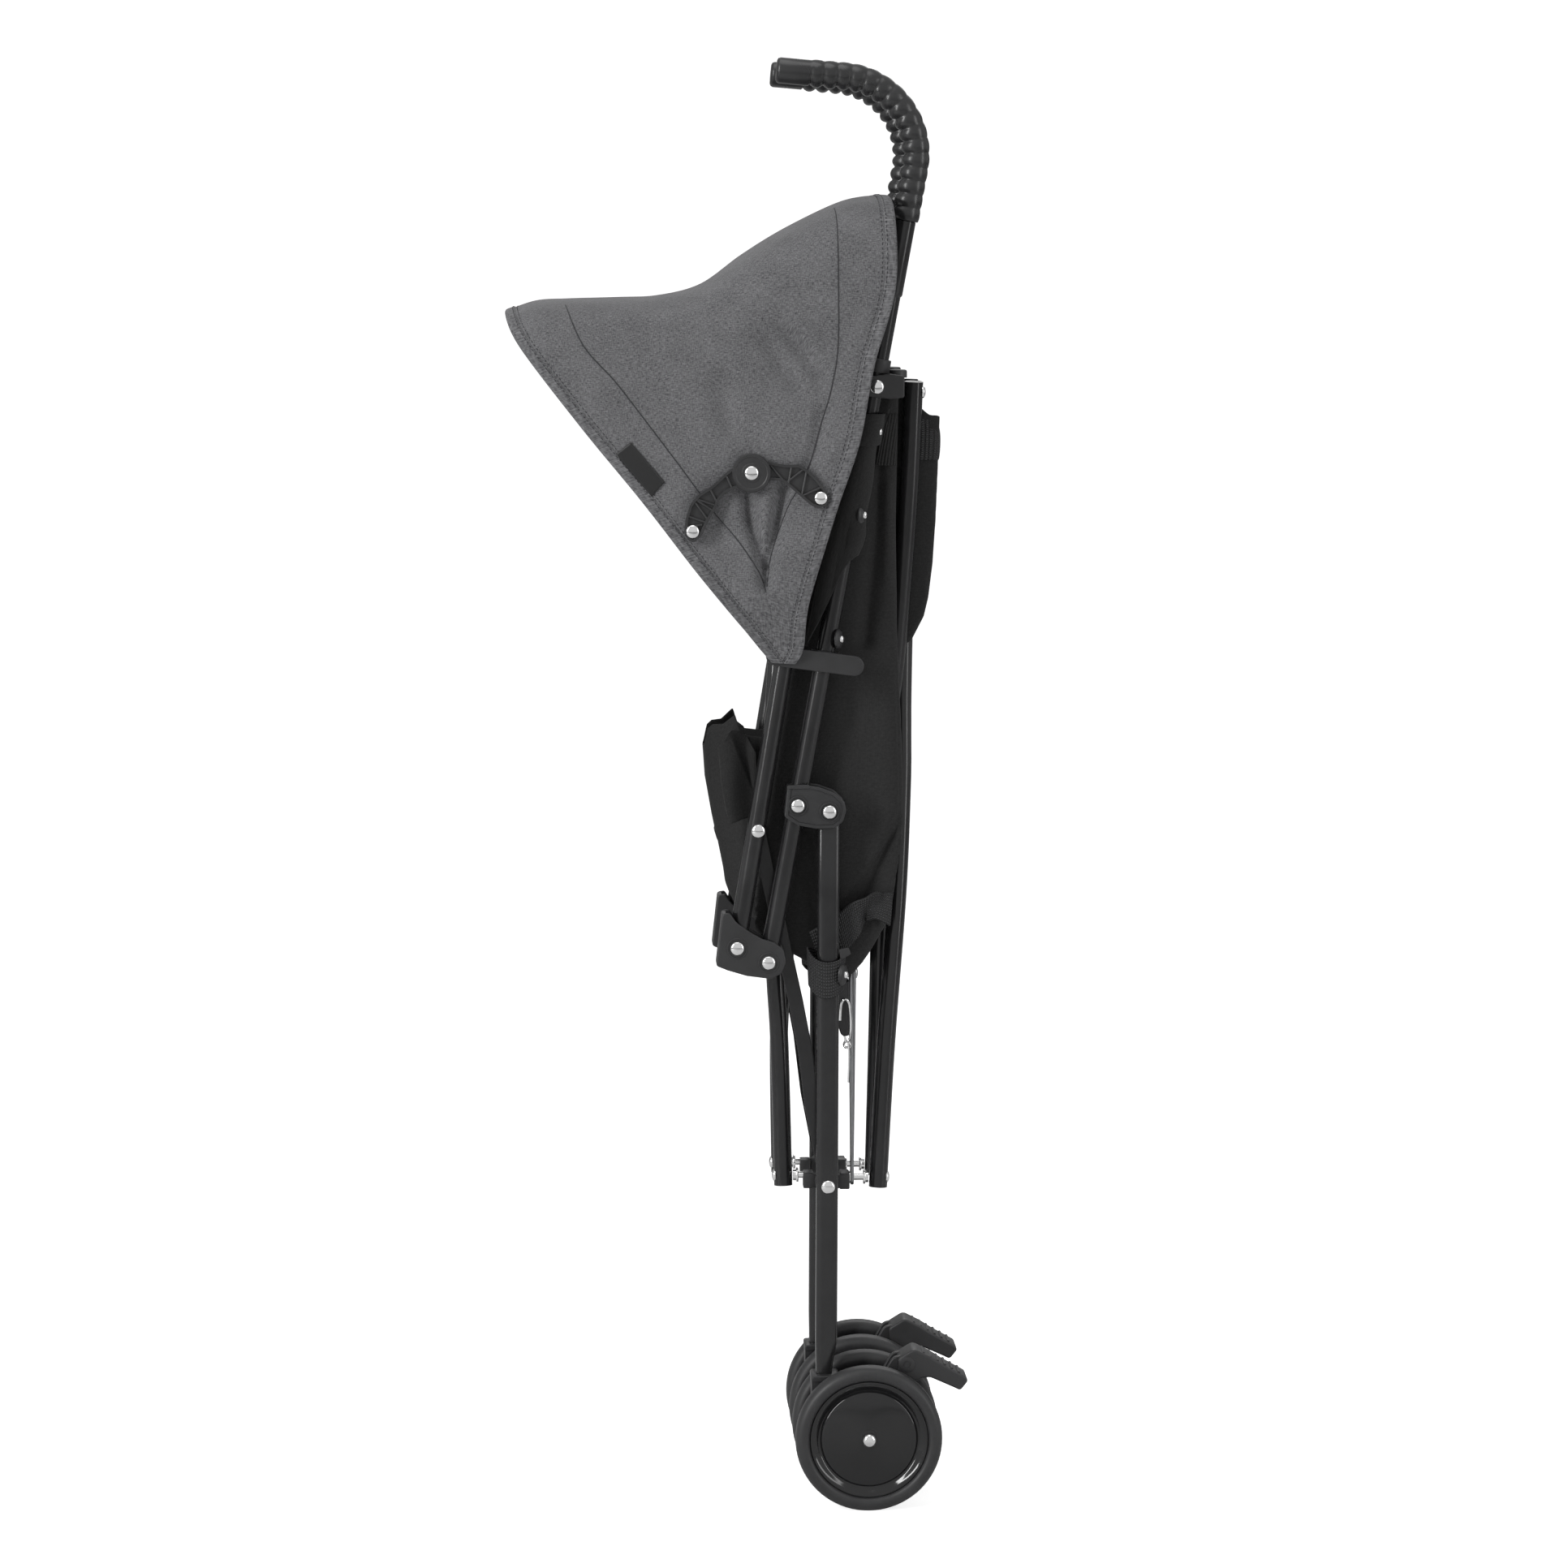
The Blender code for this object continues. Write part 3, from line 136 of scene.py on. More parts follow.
class StrollerColours(bpy.types.PropertyGroup):
    """Colours of the stroller's finishes"""

    coat: bpy.props.FloatVectorProperty(
        name="Powder coat", description="Black powder coat of the steel tubes",
        default=linear("#262627"), **COLOUR)
    nylon: bpy.props.FloatVectorProperty(
        name="Moulded nylon", description="Black nylon of the brackets and housings",
        default=linear("#2e2e2f"), **COLOUR)
    gloss: bpy.props.FloatVectorProperty(
        name="Wheel cover", description="Polished black plastic of the wheel covers",
        default=linear("#1c1c1d"), **COLOUR)
    foam: bpy.props.FloatVectorProperty(
        name="Grip foam", description="Black foam of the handle grips", default=linear("#2a2a2b"), **COLOUR)
    tyre: bpy.props.FloatVectorProperty(
        name="Tyre", description="Dark EVA of the tyres", default=linear("#323233"), **COLOUR)
    chrome: bpy.props.FloatVectorProperty(
        name="Chrome", description="Plated rivets, screws and caps", default=linear("#ececec"), **COLOUR)
    heather_dark: bpy.props.FloatVectorProperty(
        name="Heather, dark thread", description="Darker yarn of the canopy cloth",
        default=linear("#4a4a4c"), **COLOUR)
    heather_pale: bpy.props.FloatVectorProperty(
        name="Heather, pale thread", description="Paler yarn of the canopy cloth",
        default=linear("#8f8f91"), **COLOUR)
    seat_cloth: bpy.props.FloatVectorProperty(
        name="Seat cloth", description="Black polyester of the seat and calf panel",
        default=linear("#292929"), **COLOUR)
    webbing: bpy.props.FloatVectorProperty(
        name="Webbing", description="Black straps", default=linear("#242425"), **COLOUR)
    backdrop: bpy.props.FloatVectorProperty(
        name="Backdrop", description="Pale studio floor and backdrop", default=linear("#fafafa"), **COLOUR)


# Places and paths

def place(x, z, y=0.0):
    """A side-view point in millimetres, at depth y, in metres in the frame."""
    return Vector((x + FRAME_X, y, z)) * MM


def at_depth(point, y):
    return place(point.x, point.y, y)


def along(start, way, distance, aside=0.0):
    """A side-view point, distance along way from start and aside to its left."""
    return start + way * distance + Vector((-way.y, way.x)) * aside


def on_path(points, share):
    """A point at a share of the length along a smooth path through points."""
    points = [Vector(point) for point in points]
    lengths = [0.0]
    for a, b in zip(points, points[1:]):
        lengths.append(lengths[-1] + (b - a).length)
    reach = min(max(share, 0.0), 1.0) * lengths[-1]
    index = max(k for k in range(len(points) - 1) if lengths[k] <= reach + 1e-9)
    t = (reach - lengths[index]) / (lengths[index + 1] - lengths[index])
    p0 = points[max(index - 1, 0)]
    p1, p2 = points[index], points[index + 1]
    p3 = points[min(index + 2, len(points) - 1)]
    return 0.5 * (2 * p1 + (p2 - p0) * t + (2 * p0 - 5 * p1 + 4 * p2 - p3) * t * t
                  + (3 * p1 - p0 - 3 * p2 + p3) * t ** 3)


def smooth_run(points, count):
    return [on_path(points, k / (count - 1)) for k in range(count)]


def blendin(value, low, high):
    """0 below low, 1 above high, and smooth in between."""
    t = min(max((value - low) / (high - low), 0.0), 1.0)
    return t * t * (3 - 2 * t)


def interpolate(rows, key):
    """A row of numbers at key, from rows that start with their key in rising order."""
    if key <= rows[0][0]:
        return list(rows[0][1:])
    for low, high in zip(rows, rows[1:]):
        if key <= high[0]:
            t = (key - low[0]) / (high[0] - low[0])
            return [a + (b - a) * t for a, b in zip(low[1:], high[1:])]
    return list(rows[-1][1:])


# Shapes: each function returns a bmesh in metres in the frame

def gather(*shapes):
    """Several shapes as one."""
    whole = bmesh.new()
    for shape in shapes:
        mesh = bpy.data.meshes.new("shape")
        shape.to_mesh(mesh)
        shape.free()
        whole.from_mesh(mesh)
        bpy.data.meshes.remove(mesh)
    return whole


def lathe(profile, centre, axis, steps=40):
    """A (radius, along) profile in millimetres, spun about an axis through centre."""
    work = bmesh.new()
    turn = Vector(axis).to_track_quat("Z", "Y").to_matrix().to_4x4()
    verts = [work.verts.new((radius * MM, 0.0, rise * MM)) for radius, rise in profile]
    for a, b in zip(verts, verts[1:]):
        work.edges.new((a, b))
    bmesh.ops.spin(work, geom=list(work.verts) + list(work.edges), cent=(0, 0, 0), axis=(0, 0, 1),
                   angle=2 * pi, steps=steps, use_merge=True)
    bmesh.ops.remove_doubles(work, verts=work.verts, dist=1e-6)
    bmesh.ops.recalc_face_normals(work, faces=work.faces)
    bmesh.ops.transform(work, matrix=Matrix.Translation(centre) @ turn, verts=work.verts)
    return work


def pipe(points, radius, sides=20, scales=None, ring=None):
    """A tube through points in metres: a ring is extruded from point to point. A ring given
    as (x, y) factors of the radius makes another section."""
    work = bmesh.new()
    points = [Vector(point) for point in points]
    scales = scales or [1.0] * len(points)
    ways = [(b - a).normalized() for a, b in zip(points, points[1:])]
    tangents = [ways[0]] + [(a + b).normalized() for a, b in zip(ways, ways[1:])] + [ways[-1]]
    start = Matrix.Translation(points[0]) @ tangents[0].to_track_quat("Z", "Y").to_matrix().to_4x4()
    made = bmesh.ops.create_circle(work, cap_ends=False, radius=1.0, segments=sides)
    if ring:
        for vert, (x, y) in zip(made["verts"], ring):
            vert.co = (x, y, 0.0)
    bmesh.ops.transform(work, matrix=start @ Matrix.Scale(radius * scales[0], 4), verts=work.verts)
    edges = list(work.edges)
    for k in range(1, len(points)):
        grown = bmesh.ops.extrude_edge_only(work, edges=edges)["geom"]
        verts = verts_of(grown)
        edges = [item for item in grown if isinstance(item, bmesh.types.BMEdge)
                 and all(vert in verts for vert in item.verts)]
        turn = tangents[k - 1].rotation_difference(tangents[k]).to_matrix().to_4x4()
        size = Matrix.Scale(scales[k] / scales[k - 1], 4)
        step = Matrix.Translation(points[k]) @ turn @ size @ Matrix.Translation(-points[k - 1])
        bmesh.ops.transform(work, matrix=step, verts=verts)
    bmesh.ops.holes_fill(work, edges=[edge for edge in work.edges if edge.is_boundary], sides=0)
    bmesh.ops.recalc_face_normals(work, faces=work.faces)
    return work


def round_corners(work, corners, verts, steps):
    """Round the corners of a flat outline, each (x, z, radius)."""
    spots = [Vector(corner[:2]) for corner in corners]
    count = len(spots)
    for k, vert in enumerate(verts):
        radius = corners[k][2] if len(corners[k]) > 2 else 0.0
        if not radius:
            continue
        before = (spots[k - 1] - spots[k]).normalized()
        after = (spots[(k + 1) % count] - spots[k]).normalized()
        reach = radius / tan(before.angle(after) / 2)
        bmesh.ops.bevel(work, geom=[vert], offset=reach, offset_type="ABSOLUTE", segments=steps,
                        profile=0.5, affect="VERTICES", material=-1)


def verts_of(items):
    return [item for item in items if isinstance(item, bmesh.types.BMVert)]


def ring_profile(bore, radius, tall, edge=0.4):
    """A ring's (radius, along) profile, with its outer edges cut at 45 degrees."""
    return [(bore, 0.0), (radius - edge, 0.0), (radius, edge), (radius, tall - edge), (radius - edge, tall),
            (bore, tall), (bore, 0.0)]


def plate(corners, thick, matrix, edge=0.8, steps=5, rims=3, sunk=None):
    """A flat plate drawn in millimetres of its own X and Y, from Z = 0 to thick, with rounded
    corners and rims, set into the frame by a matrix. A sunk plate has one face, +1 or -1, that
    lies lower inside a lip of a given width."""
    work = bmesh.new()
    verts = [work.verts.new((corner[0], corner[1], 0.0)) for corner in corners]
    work.faces.new(verts)
    round_corners(work, corners, verts, steps)
    grown = bmesh.ops.extrude_face_region(work, geom=list(work.faces), use_keep_orig=True)["geom"]
    bmesh.ops.translate(work, vec=(0.0, 0.0, thick), verts=verts_of(grown))
    bmesh.ops.recalc_face_normals(work, faces=work.faces)
    caps = sorted((face for face in work.faces if abs(face.normal.z) > 0.99),
                  key=lambda face: -face.calc_area())[:2]
    border = list({rim for face in caps for rim in face.edges})
    bmesh.ops.bevel(work, geom=border, offset=edge, offset_type="OFFSET", segments=rims, profile=0.5,
                    affect="EDGES", clamp_overlap=True, material=-1)
    caps = sorted((face for face in work.faces if abs(face.normal.z) > 0.999),
                  key=lambda face: -face.calc_area())[:2]
    bmesh.ops.inset_individual(work, faces=caps, thickness=0.25, depth=0.0, use_even_offset=True)
    if sunk:
        way, lip, depth = sunk
        face = [cap for cap in caps if cap.normal.z * way > 0]
        bmesh.ops.inset_region(work, faces=face, thickness=lip - edge, use_even_offset=True)
        bmesh.ops.inset_region(work, faces=face, thickness=0.35, depth=-depth, use_even_offset=True)
        bmesh.ops.inset_region(work, faces=face, thickness=0.3, use_even_offset=True)
    bmesh.ops.transform(work, matrix=matrix, verts=work.verts)
    bmesh.ops.recalc_face_normals(work, faces=work.faces)
    return work


def slab(corners, low, high, edge=0.8, steps=5, rims=3, sunk=None):
    """A plate of the side view between two depths."""
    turn = Matrix(((MM, 0, 0, FRAME_X * MM), (0, 0, MM, min(low, high) * MM), (0, MM, 0, 0), (0, 0, 0, 1)))
    return plate(corners, abs(high - low), turn, edge, steps, rims, sunk)


def bar_outline(points, wide, end_steps=8):
    """The outline of a flat bar of even width along a path, with round ends."""
    half = wide / 2
    points = [Vector(point) for point in points]
    ways = [(b - a).normalized() for a, b in zip(points, points[1:])]
    left, right = [], []
    for index, point in enumerate(points):
        near, far = ways[max(index - 1, 0)], ways[min(index, len(ways) - 1)]
        middle = (near + far).normalized()
        side = Vector((-middle.y, middle.x)) * (half / max(middle.dot(near), 0.5))
        left.append(point + side)
        right.append(point - side)

    def cap(centre, way, sign):
        start = atan2(way.x * sign, -way.y * sign)
        return [centre + half * Vector((cos(start - pi * k / end_steps),
                                        sin(start - pi * k / end_steps)))
                for k in range(1, end_steps)]

    return [tuple(p) for p in left + cap(points[-1], ways[-1], 1) + right[::-1] + cap(points[0], ways[0], -1)]


def box_shape(x_span, y_span, z_span, edge):
    """A block between side-view limits with rounded edges."""
    work = bmesh.new()
    bmesh.ops.create_cube(work, size=1.0)
    low = place(min(x_span), min(z_span), min(y_span))
    high = place(max(x_span), max(z_span), max(y_span))
    size = high - low
    bmesh.ops.transform(work, matrix=Matrix.Translation((low + high) / 2) @ Matrix.Diagonal((*size, 1.0)),
                        verts=work.verts)
    bmesh.ops.bevel(work, geom=list(work.edges), offset=edge * MM, offset_type="OFFSET", segments=2,
                    profile=0.5, affect="EDGES", material=-1)
    return work


SOFT_ANGLE = 80.0    # degrees below which cloth shades smoothly
RIVET = [(1, -0.6), (1, 0.12), (0.94, 0.30), (0.80, 0.46), (0.58, 0.60), (0.30, 0.68), (0, 0.70)]


def rivet(centre, way, radius, tall=2.4, steps=28):
    """A domed head that sits on a face at centre and points along way."""
    rise = tall / 0.70
    profile = [(r * radius / MM, max(h * rise, -0.5)) for r, h in RIVET]
    return lathe([(0, -0.5)] + profile, centre, way, steps)


def piece(name, shape, finish, body, replaces=(), angle=32.0):
    """Turn a shape into a finished object that moves with a body."""
    mesh = bpy.data.meshes.new(name)
    shape.to_mesh(mesh)
    shape.free()
    mesh.shade_smooth()
    mesh.set_sharp_from_angle(angle=radians(angle))
    mesh.materials.append(finish)
    made = bpy.data.objects.new(name, mesh)
    bpy.context.scene.collection.objects.link(made)
    if body:
        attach(made, body)
    if replaces:
        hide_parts(*replaces)
    return made


def finish_of(name):
    made = bpy.data.materials.get(name)
    if made is None:
        raise RuntimeError(f"the material {name} is made by the first operator")
    return made


# Materials

def add(tree, kind, values=None, stops=(), **settings):
    """Add a shader node, set its properties and its ramp's stops, and give its inputs
    constants or links; a node given as a value is linked by its first output."""
    made = tree.nodes.new("ShaderNode" + kind)
    for name, value in settings.items():
        setattr(made, name, value)
    for index, (position, colour) in enumerate(stops):
        made.color_ramp.elements[index].position = position
        made.color_ramp.elements[index].color = colour
    for key, value in (values or {}).items():
        if isinstance(value, bpy.types.Node):
            value = value.outputs[0]
        if isinstance(value, bpy.types.NodeSocket):
            tree.links.new(value, made.inputs[key])
        else:
            made.inputs[key].default_value = value
    return made


def new_finish(name, colour, roughness, metallic=0.0, ior=None, sheen=0.0):
    """A material with its plain values on the shader, ready for its pattern."""
    made = bpy.data.materials.new(name)
    made.use_nodes = True
    made.diffuse_color = (*colour, 1.0)
    shader = made.node_tree.nodes["Principled BSDF"]
    shader.inputs["Base Color"].default_value = (*colour, 1.0)
    shader.inputs["Roughness"].default_value = roughness
    shader.inputs["Metallic"].default_value = metallic
    shader.inputs["Sheen Weight"].default_value = sheen
    if ior:
        shader.inputs["IOR"].default_value = ior
    return made, made.node_tree, shader


def connect(tree, shader, tone=None, gloss=None, bump=None):
    """Let a pattern's nodes set the shader's colour, roughness and normal."""
    for node, name in ((tone, "Base Color"), (gloss, "Roughness"), (bump, "Normal")):
        if node:
            tree.links.new(node.outputs[0], shader.inputs[name])


def shade(colour, factor):
    """A colour times a factor, with full alpha."""
    return (*[min(channel * factor, 1.0) for channel in colour], 1.0)


def powder_coat(colours):
    # powder-coated steel: a hard black skin with a slight orange peel that breaks up the
    # edges of its highlights; the peel is drawn at 1.6 mm, a little coarser than real
    made, tree, shader = new_finish("powder_coated_steel", colours.coat, 0.19, ior=1.5)
    spot = add(tree, "TexCoord").outputs["Object"]
    peel = add(tree, "TexNoise", {"Vector": spot, "Scale": 620.0, "Detail": 2.0, "Roughness": 0.45})
    cloud = add(tree, "TexNoise", {"Vector": spot, "Scale": 26.0, "Detail": 3.0, "Roughness": 0.6})
    tone = add(tree, "ValToRGB", {"Fac": cloud},
               stops=((0.32, shade(colours.coat, 0.86)), (0.72, shade(colours.coat, 1.22))))
    gloss = add(tree, "MapRange", {"Value": cloud, "From Min": 0.3, "From Max": 0.7,
                                   "To Min": 0.15, "To Max": 0.22})
    bump = add(tree, "Bump", {"Strength": 0.035, "Distance": 0.0003, "Height": peel})
    connect(tree, shader, tone, gloss, bump)
    return made


def moulded_nylon(name, colour, low, high, grain=1500.0, strength=0.12):
    # injection-moulded nylon: fine spark-eroded grain, soft wide highlights, and a faint
    # random cloud in its tone and gloss
    made, tree, shader = new_finish(name, colour, (low + high) / 2, ior=1.53)
    spot = add(tree, "TexCoord").outputs["Object"]
    fine = add(tree, "TexNoise", {"Vector": spot, "Scale": grain, "Detail": 3.0, "Roughness": 0.55})
    cloud = add(tree, "TexNoise", {"Vector": spot, "Scale": 42.0, "Detail": 2.0, "Roughness": 0.5})
    tone = add(tree, "ValToRGB", {"Fac": cloud},
               stops=((0.3, shade(colour, 0.88)), (0.75, shade(colour, 1.2))))
    gloss = add(tree, "MapRange", {"Value": cloud, "From Min": 0.3, "From Max": 0.7,
                                   "To Min": low, "To Max": high})
    bump = add(tree, "Bump", {"Strength": strength, "Distance": 0.0002, "Height": fine})
    connect(tree, shader, tone, gloss, bump)
    return made


def chrome_plate(colours):
    # chromed steel: a mirror with faint hairlines from polishing
    made, tree, shader = new_finish("chrome_plate", colours.chrome, 0.1, metallic=1.0)
    spot = add(tree, "TexCoord").outputs["Object"]
    marks = add(tree, "TexNoise", {"Vector": spot, "Scale": 900.0, "Detail": 2.0})
    gloss = add(tree, "MapRange", {"Value": marks, "From Min": 0.3, "From Max": 0.7,
                                   "To Min": 0.07, "To Max": 0.16})
    connect(tree, shader, gloss=gloss)
    return made


def zinc_steel():
    # zinc-plated strip: pale, slightly blued, with streaks along the rolling direction
    colour = linear("#8f9092")
    made, tree, shader = new_finish("zinc_plated_steel", colour, 0.3, metallic=1.0)
    spot = add(tree, "TexCoord").outputs["Object"]
    grain = add(tree, "Mapping", {"Vector": spot, "Scale": (900.0, 900.0, 40.0)})
    streaks = add(tree, "TexNoise", {"Vector": grain, "Scale": 1.0, "Detail": 3.0})
    tone = add(tree, "ValToRGB", {"Fac": streaks},
               stops=((0.0, shade(colour, 0.7)), (1.0, shade(colour, 1.2))))
    gloss = add(tree, "MapRange", {"Value": streaks, "To Min": 0.2, "To Max": 0.45})
    connect(tree, shader, tone, gloss)
    return made


def tyre_rubber(colours):
    # foamed EVA with a moulded skin: satin, with scuffs scattered over all of it
    made, tree, shader = new_finish("eva_tyre", colours.tyre, 0.5, ior=1.5)
    spot = add(tree, "TexCoord").outputs["Object"]
    skin = add(tree, "TexNoise", {"Vector": spot, "Scale": 900.0, "Detail": 4.0, "Roughness": 0.6})
    scuff = add(tree, "TexNoise", {"Vector": spot, "Scale": 60.0, "Detail": 5.0, "Roughness": 0.65})
    tone = add(tree, "ValToRGB", {"Fac": scuff},
               stops=((0.35, shade(colours.tyre, 0.9)), (0.8, shade(colours.tyre, 1.35))))
    gloss = add(tree, "MapRange", {"Value": scuff, "From Min": 0.3, "From Max": 0.7,
                                   "To Min": 0.4, "To Max": 0.55})
    bump = add(tree, "Bump", {"Strength": 0.15, "Distance": 0.0002, "Height": skin})
    connect(tree, shader, tone, gloss, bump)
    return made


def heather_cloth(name, colours, spacing, coarse=1.0):
    # plain-woven heather polyester: dark and pale yarns cross, each thick and thin along
    # its length, so the grey breaks into short flecks along both threads
    made, tree, shader = new_finish(name, colours.heather_dark, 0.92, ior=1.4, sheen=0.06)
    shader.inputs["Sheen Roughness"].default_value = 0.5
    thread = 1.0 / (spacing * coarse)
    cloth = add(tree, "UVMap", uv_map="cloth").outputs["UV"]
    along_warp = add(tree, "Mapping", {"Vector": cloth, "Scale": (thread, thread * 0.24, 1.0)})
    along_weft = add(tree, "Mapping", {"Vector": cloth, "Scale": (thread * 0.2, thread, 1.0)})
    warp = add(tree, "TexNoise", {"Vector": along_warp, "Scale": 1.0, "Detail": 2.5, "Roughness": 0.6})
    weft = add(tree, "TexNoise", {"Vector": along_weft, "Scale": 1.0, "Detail": 2.5, "Roughness": 0.6})
    mixed = add(tree, "Mix", {"Factor": 0.55, 2: warp, 3: weft}, data_type="FLOAT")
    patches = add(tree, "TexNoise", {"Vector": cloth, "Scale": 38.0, "Detail": 3.0, "Roughness": 0.6})
    faint = add(tree, "Math", {0: patches, 1: 0.12}, operation="MULTIPLY")
    shaded = add(tree, "Math", {0: mixed, 1: 0.88, 2: faint}, operation="MULTIPLY_ADD")
    tone = add(tree, "ValToRGB", {"Fac": shaded},
               stops=((0.38, (*colours.heather_dark, 1.0)), (0.62, (*colours.heather_pale, 1.0))))
    bump = add(tree, "Bump", {"Strength": 0.35, "Distance": 0.0003, "Height": mixed})
    connect(tree, shader, tone, bump=bump)
    return made


def black_polyester(colours):
    # 600-denier polyester: black, with a fine basket weave and dusty soft highlights; the
    # weave is drawn at 1.3 mm so that it shows
    made, tree, shader = new_finish("black_polyester", colours.seat_cloth, 0.85, ior=1.42, sheen=0.05)
    shader.inputs["Sheen Roughness"].default_value = 0.4
    cloth = add(tree, "UVMap", uv_map="cloth").outputs["UV"]
    warp = add(tree, "TexWave", {"Vector": cloth, "Scale": 245.0, "Distortion": 0.6, "Detail": 1.0},
               bands_direction="X")
    weft = add(tree, "TexWave", {"Vector": cloth, "Scale": 245.0, "Distortion": 0.6, "Detail": 1.0},
               bands_direction="Y")
    weave = add(tree, "Math", {0: warp.outputs["Fac"], 1: weft.outputs["Fac"]}, operation="MULTIPLY")
    lint = add(tree, "TexNoise", {"Vector": cloth, "Scale": 520.0, "Detail": 4.0, "Roughness": 0.7})
    height = add(tree, "Math", {0: weave, 1: lint}, operation="ADD")
    tone = add(tree, "ValToRGB", {"Fac": lint},
               stops=((0.3, shade(colours.seat_cloth, 0.75)), (0.75, shade(colours.seat_cloth, 1.5))))
    bump = add(tree, "Bump", {"Strength": 0.3, "Distance": 0.0004, "Height": height})
    connect(tree, shader, tone, bump=bump)
    return made


def webbing(colours):
    # polypropylene webbing: a coarse ribbed weave, drawn at 2.2 by 1.7 mm, whose picks show in rows;
    # its colour is painted light, a painted highlight on each raised pick and painted shade in the hollows
    made, tree, shader = new_finish("polypropylene_webbing", colours.webbing, 0.6, ior=1.49)
    strap = add(tree, "UVMap", uv_map="cloth").outputs["UV"]
    ribs = add(tree, "TexWave", {"Vector": strap, "Scale": 140.0, "Distortion": 0.3, "Detail": 1.0},
               bands_direction="X")
    picks = add(tree, "TexWave", {"Vector": strap, "Scale": 190.0, "Distortion": 0.5, "Detail": 1.0},
                bands_direction="Y")
    weave_relief_and_painted_light = add(tree, "Math", {0: ribs.outputs["Fac"], 1: picks.outputs["Fac"]}, operation="MULTIPLY")
    # painted highlight and painted shade from the weave's relief: raised picks up to 4.4 times lighter,
    # hollows darker
    tone = add(tree, "ValToRGB", {"Fac": weave_relief_and_painted_light},
               stops=((0.05, shade(colours.webbing, 0.45)), (0.85, shade(colours.webbing, 4.4))))
    bump = add(tree, "Bump", {"Strength": 1.0, "Distance": 0.0012, "Height": weave_relief_and_painted_light})
    connect(tree, shader, tone, bump=bump)
    return made


def satin_tape():
    # woven satin of the blank tag: smooth, black, with a soft sheen across the weave
    colour = linear("#171718")
    made, tree, shader = new_finish("black_satin_tape", colour, 0.42, ior=1.5, sheen=0.2)
    cloth = add(tree, "UVMap", uv_map="cloth").outputs["UV"]
    lines = add(tree, "TexWave", {"Vector": cloth, "Scale": 420.0, "Distortion": 0.2, "Detail": 1.0},
                bands_direction="Y")
    gloss = add(tree, "MapRange", {"Value": lines.outputs["Fac"], "To Min": 0.34, "To Max": 0.55})
    bump = add(tree, "Bump", {"Strength": 0.2, "Distance": 0.0002, "Height": lines.outputs["Fac"]})
    connect(tree, shader, gloss=gloss, bump=bump)
    return made


def thread_and_seam_shade():
    # twisted polyester thread, a shade darker than the heather cloth; as the cords along the canopy's
    # seams it is partly their thread and partly painted shade of their grooves
    colour = linear("#3c3c3e")
    made, tree, shader = new_finish("thread_and_seam_shade", colour, 0.7, ior=1.45)
    spot = add(tree, "TexCoord").outputs["Object"]
    twist = add(tree, "TexNoise", {"Vector": spot, "Scale": 1800.0, "Detail": 2.0})
    tone = add(tree, "ValToRGB", {"Fac": twist}, stops=((0.0, shade(colour, 0.7)), (1.0, shade(colour, 1.3))))
    connect(tree, shader, tone)
    return made


class STROLLER_OT_finishes(bpy.types.Operator):
    """Make the stroller's materials"""

    bl_idname = "stroller.make_finishes"
    bl_label = "Finishes"

    def execute(self, context):
        sizes, colours = context.scene.stroller_sizes, context.scene.stroller_colours
        powder_coat(colours)
        moulded_nylon("moulded_nylon", colours.nylon, 0.36, 0.5)
        moulded_nylon("polished_nylon", colours.gloss, 0.08, 0.14, grain=300.0, strength=0.02)
        moulded_nylon("foam_grip", colours.foam, 0.24, 0.34, grain=700.0, strength=0.08)
        chrome_plate(colours)
        zinc_steel()
        tyre_rubber(colours)
        heather_cloth("heather_cloth", colours, sizes.thread_spacing)
        heather_cloth("heather_binding", colours, sizes.thread_spacing, coarse=1.5)
        black_polyester(colours)
        webbing(colours)
        satin_tape()
        thread_and_seam_shade()
        return {"FINISHED"}


# The steel tubes, the links and the lock's bars

REAR_CROSS_BOW = {
    "left": [(62.5, 746), (53, 622), (46, 582), (45.2, CROSSING_Z), (44.5, 460), (43, 345)],
    "right": [(64, 746), (61, 622), (60.6, 582), (60.2, CROSSING_Z), (56.5, 460), (47.5, 345)],
}
FRONT_CROSS_BOW = {
    "left": [(-33.5, 345), (-36.5, 400), (-39, 470), (-39.4, 515), (-38.8, 560), (-33, 660)],
    "right": [(-32.5, 345), (-29, 400), (-25, 470), (-24.6, 515), (-25, 560), (-27, 660)],
}
LOCK_LENGTH = 155.0
LOCK_TOP = REAR_CROSS_FOOT.y + sqrt(LOCK_LENGTH ** 2 - CROSS_DEPTH ** 2)
LINK_PATH = [tuple(HUB), (-9.5, 300), (-15, 345), (-22, 382), tuple(LINK_TOP)]


def straight_tube(start, way, y, profile, steps=40):
    """A turned piece along a side-view direction, from (radius, distance) pairs."""
    return lathe(profile, at_depth(start, y), (way.x, 0, way.y), steps)


def push_tube(s, radius):
    r, sleeve = radius, 8.2
    profile = [(0, -9), (r - 0.8, -9), (r, -8.2), (r, 503.8), (r + 0.1, 504.6), (sleeve - 0.2, 505.6),
               (sleeve, 506.4), (sleeve, 560.2), (r, 560.6), (r, 584), (0, 584)]
    return straight_tube(PUSH_FOOT, PUSH_UP, s * HALF_TRACK, profile)


def front_leg(s, radius):
    end = FRONT_LEG_LENGTH
    profile = [(0, -9), (radius - 0.8, -9), (radius, -8.2), (radius, end - 0.8), (radius - 0.8, end),
               (5.2, end), (5.2, end - 12), (0, end - 12)]
    return straight_tube(KNEE_RIVET, FRONT_UP, s * HALF_TRACK, profile)


